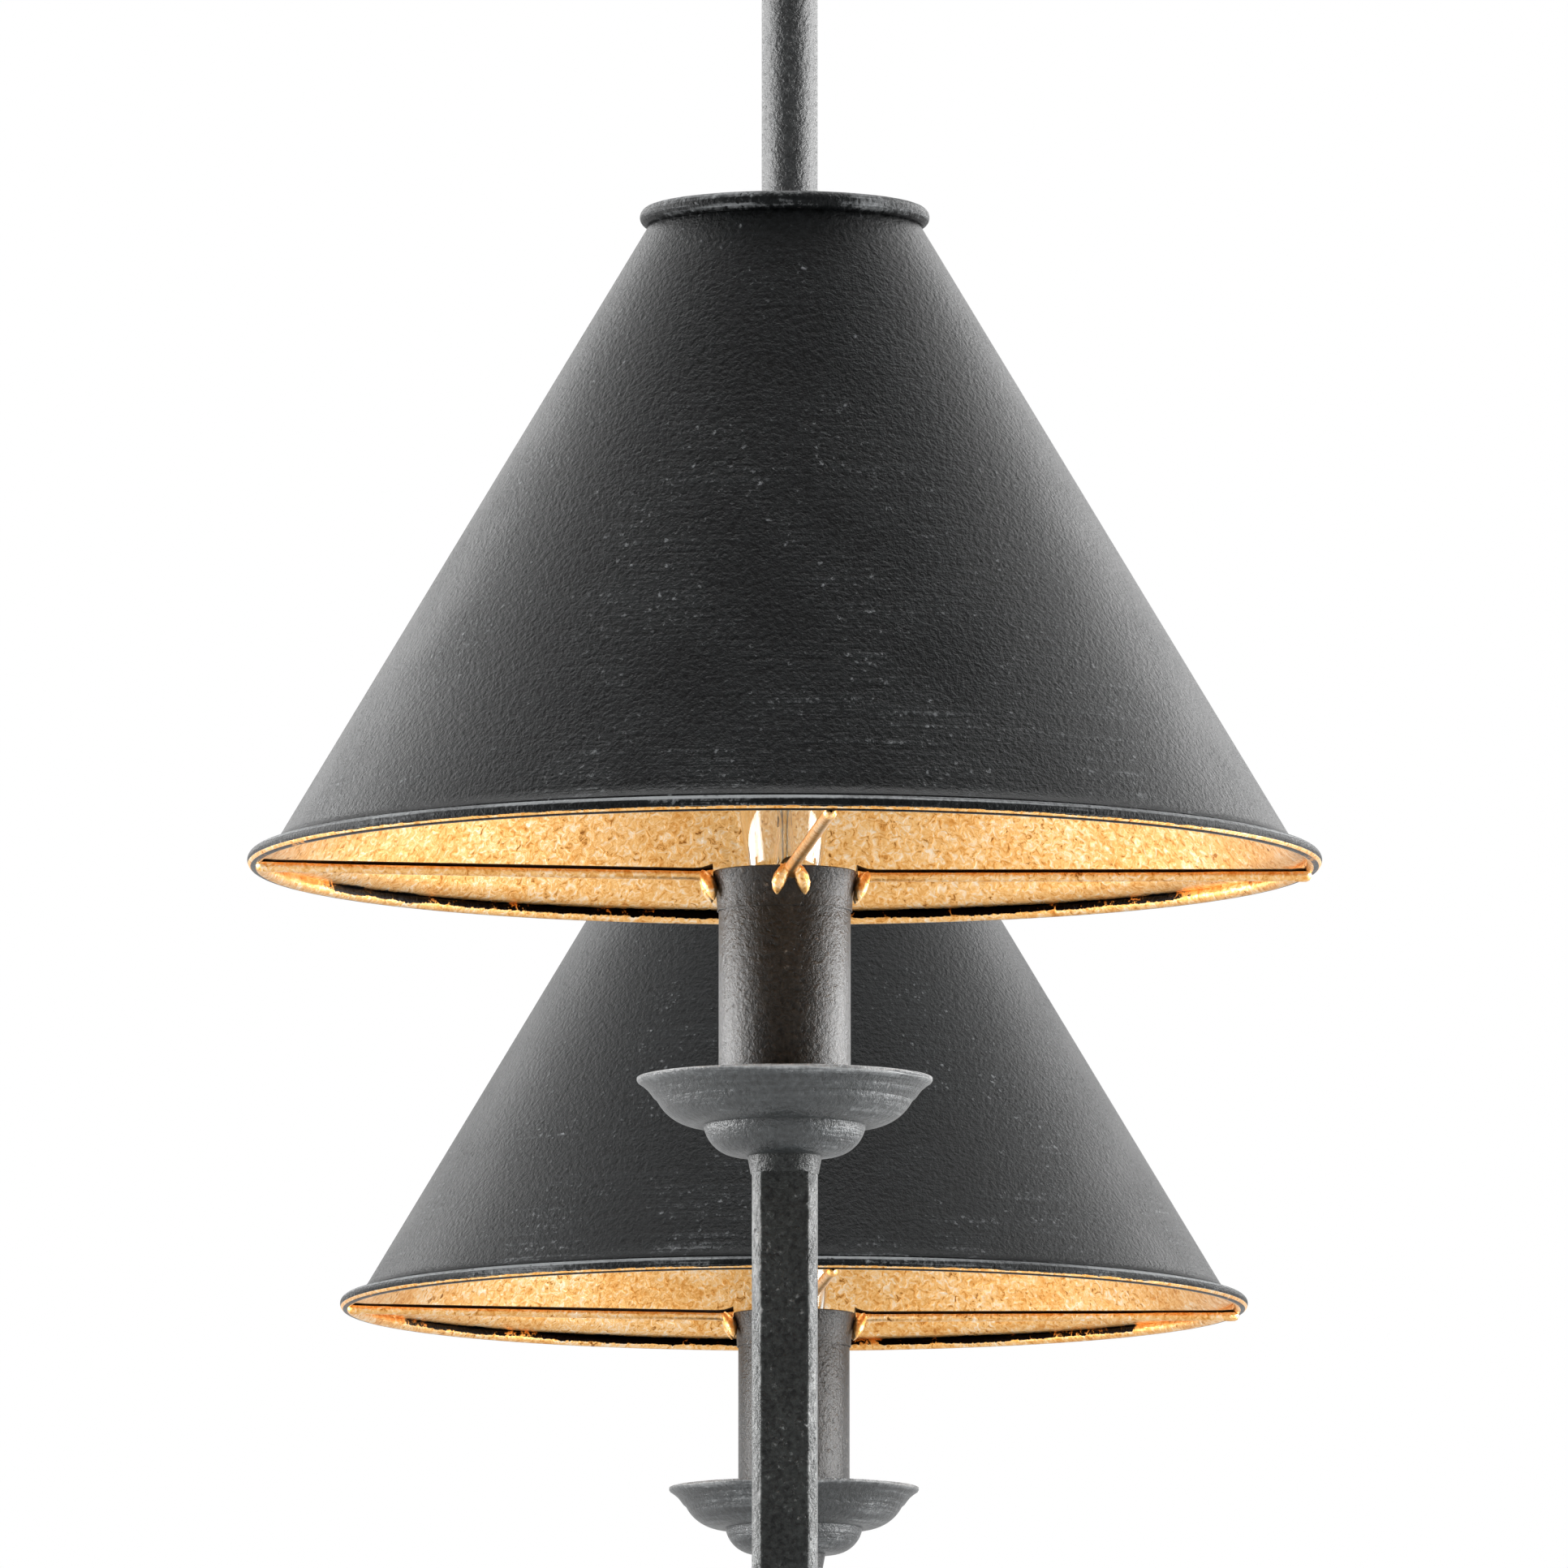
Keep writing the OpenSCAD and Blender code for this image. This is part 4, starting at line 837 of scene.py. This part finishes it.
def cup_section():
    line = [((30.52, 0.0), 0.9), ((30.52, -0.5), 0.9), ((30.3, -0.85), 0.8), ((29.4, -1.45), 0.5),
            ((28.4, -2.3), 0.3), ((27.6, -3.3), 0.2), ((27.1, -4.0), 0.2)]
    line += [(p, 0.35) for p in arc(UPPER_LOBE, UPPER_R, -27.0, -80.0, 12)]
    line += [((18.1, -9.95), 0.1), ((17.3, -9.9), 0.0), ((16.95, -9.75), 0.0)]
    line += [(p, 0.35) for p in arc(LOWER_LOBE, LOWER_R, -8.0, -90.0, 14)]
    line += [((5.0, -16.2), 0.2), ((5.0, -15.0), 0.0)]
    line += [(p, 0.0) for p in arc(LOWER_LOBE, LOWER_R - CUP_WALL, -90.0, 0.0, 10)]
    line += [(p, 0.0) for p in arc(UPPER_LOBE, UPPER_R - CUP_WALL, -82.0, -24.0, 10)]
    return line + [((29.2, -0.3), 0.4), ((30.1, 0.0), 0.8)]


for side, way in SIDES.items():
    cup = turned("spun_cup_" + side, cup_section(), (way * LAMP_X, 0.0, cup_top), turned_iron, steps=160)
    take_place(cup, "pendant", "blackened_iron", "cup_" + side)

# %% [markdown]
# Inside each candle bulb a glass stem stands on the base and carries four lit sticks, thin rods
# under yellow phosphor, on fine wires. The stem is turned, the sticks and wires are swept.

# %% Bulb stems and sticks
phosphor = moulded_plastic("phosphor_coating", "#e8c25a", "#f6dc8e", 0.55)
fil_low, fil_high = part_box("bulb_filament_right")
STICK_FOOT, STICK_R, STICK_OUT = 17.4, 0.6, 2.6
STICK_TURN = math.radians(45.0)
STICK_GIRTHS = ((0.0, 0.3), (0.02, 0.9), (0.04, 1.0), (0.5, 1.0), (0.96, 1.0), (0.98, 0.9), (1.0, 0.3))
STEM_SPOTS = ((3.4, 0.0), (3.3, 1.2), (2.4, 3.5), (1.7, 7.0), (1.5, 12.0), (1.7, 15.2), (1.3, 16.6),
              (0.4, 17.0))
HOOK_SPOTS = ((0.6, 3.0), (0.7, 12.0), (1.2, 16.0), (STICK_OUT, 17.5))
stick_l = (fil_high.z - fil_low.z) * 1000 - 18.4
stick = [((STICK_OUT, 0.0, STICK_FOOT + stick_l * t), girth, 0.0) for t, girth in STICK_GIRTHS]
hook = [((x, 0.0, z), 0.3, 0.0) for x, z in HOOK_SPOTS]
for side, way in SIDES.items():
    foot = (way * LAMP_X, 0.0, fil_low.z)
    stem = turned("bulb_stem_" + side, [(p, 0.0) for p in STEM_SPOTS], foot, clear_glass, steps=32)
    take_place(stem, "bulb_" + side, "bulb_clear_glass", "bulb_filament_" + side)
    sticks = swept("bulb_sticks_" + side, [stick], ring_of(10, STICK_R), foot, phosphor, 4, STICK_TURN)
    take_place(sticks, "bulb_" + side, "filament_wire")
    hooks = swept("bulb_hooks_" + side, [hook], ring_of(6, STICK_R), foot, filament_metal, 4, STICK_TURN)
    take_place(hooks, "bulb_" + side, "filament_wire")

# %% [markdown]
# The room is white for the camera, for reflections and through glass, and gives the object only a
# mild light from all sides. A Light Path node tells these rays from the others, so white comes from
# the background and not from more light.

# %% White room
WHITE = (1.0, 1.0, 1.0, 1.0)
world = bpy.data.worlds.new("white_room")
bpy.context.scene.world = world
world.use_nodes = True
room = world.node_tree
room_light = room.nodes["Background"]
room_light.inputs["Color"].default_value = WHITE
room_light.inputs["Strength"].default_value = 0.4
seen_white = add(room, "ShaderNodeBackground", {"Color": WHITE, "Strength": 1.0})
path = add(room, "ShaderNodeLightPath")
direct = add(room, "ShaderNodeMath", {"operation": "MAXIMUM"},
             {0: path.outputs["Is Camera Ray"], 1: path.outputs["Is Glossy Ray"]})
shown = add(room, "ShaderNodeMath", {"operation": "MAXIMUM"},
            {0: direct.outputs["Value"], 1: path.outputs["Is Transmission Ray"]})
room_mix = add(room, "ShaderNodeMixShader", None,
               {"Fac": shown.outputs["Value"], 1: room_light.outputs["Background"],
                2: seen_white.outputs["Background"]})
room.links.new(room_mix.outputs["Shader"], room.nodes["World Output"].inputs["Surface"])
print("world", world.name)

# %% [markdown]
# The fixture hangs in the air, so the floor is well below it and only takes a soft shadow. For the
# camera and for reflections a part of its colour is plain white. That part grows with the distance,
# so that the floor runs into the white room without a hard edge, and the shadow stays near.

# %% Pale floor
FLOOR_Z, FLOOR_HALF = -1.5, 9
NEAR_WHITE, FADE_FROM, FADE_TO = 0.65, 2.5, 8.5


def stage_mesh(name, corners, finish):
    mesh = bpy.data.meshes.new(name)
    mesh.from_pydata(corners, [], [(0, 1, 2, 3)])
    mesh.materials.append(finish)
    thing = into_scene(name, mesh)
    return thing


pale_floor, tree, shader, place = new_material("pale_floor")
shader.inputs["Base Color"].default_value = linear("#f1f1f0")
shader.inputs["Roughness"].default_value = 0.9
path = add(tree, "ShaderNodeLightPath")
white = add(tree, "ShaderNodeEmission", {"Color": WHITE, "Strength": 1.0})
direct = add(tree, "ShaderNodeMath", {"operation": "MAXIMUM"},
             {0: path.outputs["Is Camera Ray"], 1: path.outputs["Is Glossy Ray"]})
far = add(tree, "ShaderNodeVectorMath", {"operation": "LENGTH"}, {0: place.outputs["Object"]})
fade = add(tree, "ShaderNodeMapRange",
           {"From Min": FADE_FROM, "From Max": FADE_TO, "To Min": NEAR_WHITE},
           {"Value": far.outputs["Value"]})
seen = add(tree, "ShaderNodeMath", {"operation": "MULTIPLY"},
           {0: direct.outputs["Value"], 1: fade.outputs["Result"]})
mix = add(tree, "ShaderNodeMixShader", None,
          {"Fac": seen.outputs["Value"], 1: shader.outputs["BSDF"], 2: white.outputs["Emission"]})
tree.links.new(mix.outputs["Shader"], tree.nodes["Material Output"].inputs["Surface"])
floor_corners = [(x * FLOOR_HALF, y * FLOOR_HALF, FLOOR_Z)
                 for x, y in ((-1, -1), (1, -1), (1, 1), (-1, 1))]
stage_mesh("floor", floor_corners, pale_floor)
print("floor at", FLOOR_Z)

# %% [markdown]
# Upright faces that look at the camera mirror what stands behind it. In a studio that is a black
# card, which keeps the front of sleeve, stem and bar dark between their pale edges. It is felt, so
# it throws nothing back, and only mirrored rays see it.

# %% Black card behind the camera
CARD_X, CARD_HALF, CARD_LOW, CARD_HIGH = 6.6, 5, -1.4, 2.6
black_felt, _, shader, _ = new_material("black_felt")
shader.inputs["Base Color"].default_value = linear("#141414")
shader.inputs["Roughness"].default_value = 1.0
card = stage_mesh("black_card", [(CARD_X, -CARD_HALF, CARD_LOW), (CARD_X, CARD_HALF, CARD_LOW),
                                 (CARD_X, CARD_HALF, CARD_HIGH), (CARD_X, -CARD_HALF, CARD_HIGH)], black_felt)
card.visible_camera = card.visible_diffuse = card.visible_shadow = card.visible_transmission = False
print("card at", CARD_X)

# %% [markdown]
# Black iron shows hardly any light of its own, only what it mirrors. So tall panels high at both
# sides, near and further back, low strips under them, panels on the floor and a panel above serve
# for reflections alone and draw the pale edges. Soft lamps at the sides, above and low light the
# leaf and the small parts. A wide fill from the front lifts the dark faces and isn't mirrored.

# %% Lamps
MIDDLE = (0.0, 0.0, -0.6)
SIDE_Y, FLOOR_Y = 2.2, 1.4
RIGHT_STRENGTH = 1.15


def soft_lamp(name, place, aim, size, watts, diffuse=True, glossy=True):
    light = bpy.data.lights.new(name, "AREA")
    light.shape = "RECTANGLE"
    light.size, light.size_y = size
    light.energy = watts
    lamp = into_scene(name, light)
    lamp.location = place
    lamp.rotation_euler = (Vector(aim) - Vector(place)).to_track_quat("-Z", "Y").to_euler()
    lamp.visible_camera = False
    lamp.visible_diffuse = diffuse
    lamp.visible_glossy = glossy


for side, way in SIDES.items():
    gain = RIGHT_STRENGTH if way > 0 else 1.0
    wall_y, floor_y = way * SIDE_Y, way * FLOOR_Y
    soft_lamp(side + "_high_panel", (-1.2, wall_y, 1.3), (-1.2, 0.0, 1.3), (4.0, 2.2), 106 * gain, False)
    soft_lamp(side + "_back_panel", (-4.4, wall_y, 1.3), (-4.4, 0.0, 1.3), (2.4, 2.2), 74 * gain, False)
    soft_lamp(side + "_low_strip", (0.0, wall_y, -0.55), (0.0, 0.0, -0.55), (2.5, 1.2), 98 * gain, False)
    soft_lamp(side + "_floor_panel", (0.2, floor_y, -1.47), (0.2, floor_y, 0.0), (2.4, 1.0), 8 * gain, False)
    soft_lamp(side + "_fill", (-1.2, way * 2.3, 0.2), MIDDLE, (2.0, 2.0), 14)
soft_lamp("top_panel", (-0.6, 0.0, 1.5), (-0.6, 0.0, -0.6), (0.7, 2.2), 38, False)
soft_lamp("top_softbox", (0.0, 0.0, 1.6), MIDDLE, (0.6, 1.0), 10)
soft_lamp("low_softbox", (1.3, 0.0, -1.45), (1.3, 0.0, 0.0), (2.4, 2.0), 1.6)
soft_lamp("front_fill", (4.5, 0.0, -0.2), (0.0, 0.0, -0.65), (2.0, 2.0), 50, glossy=False)
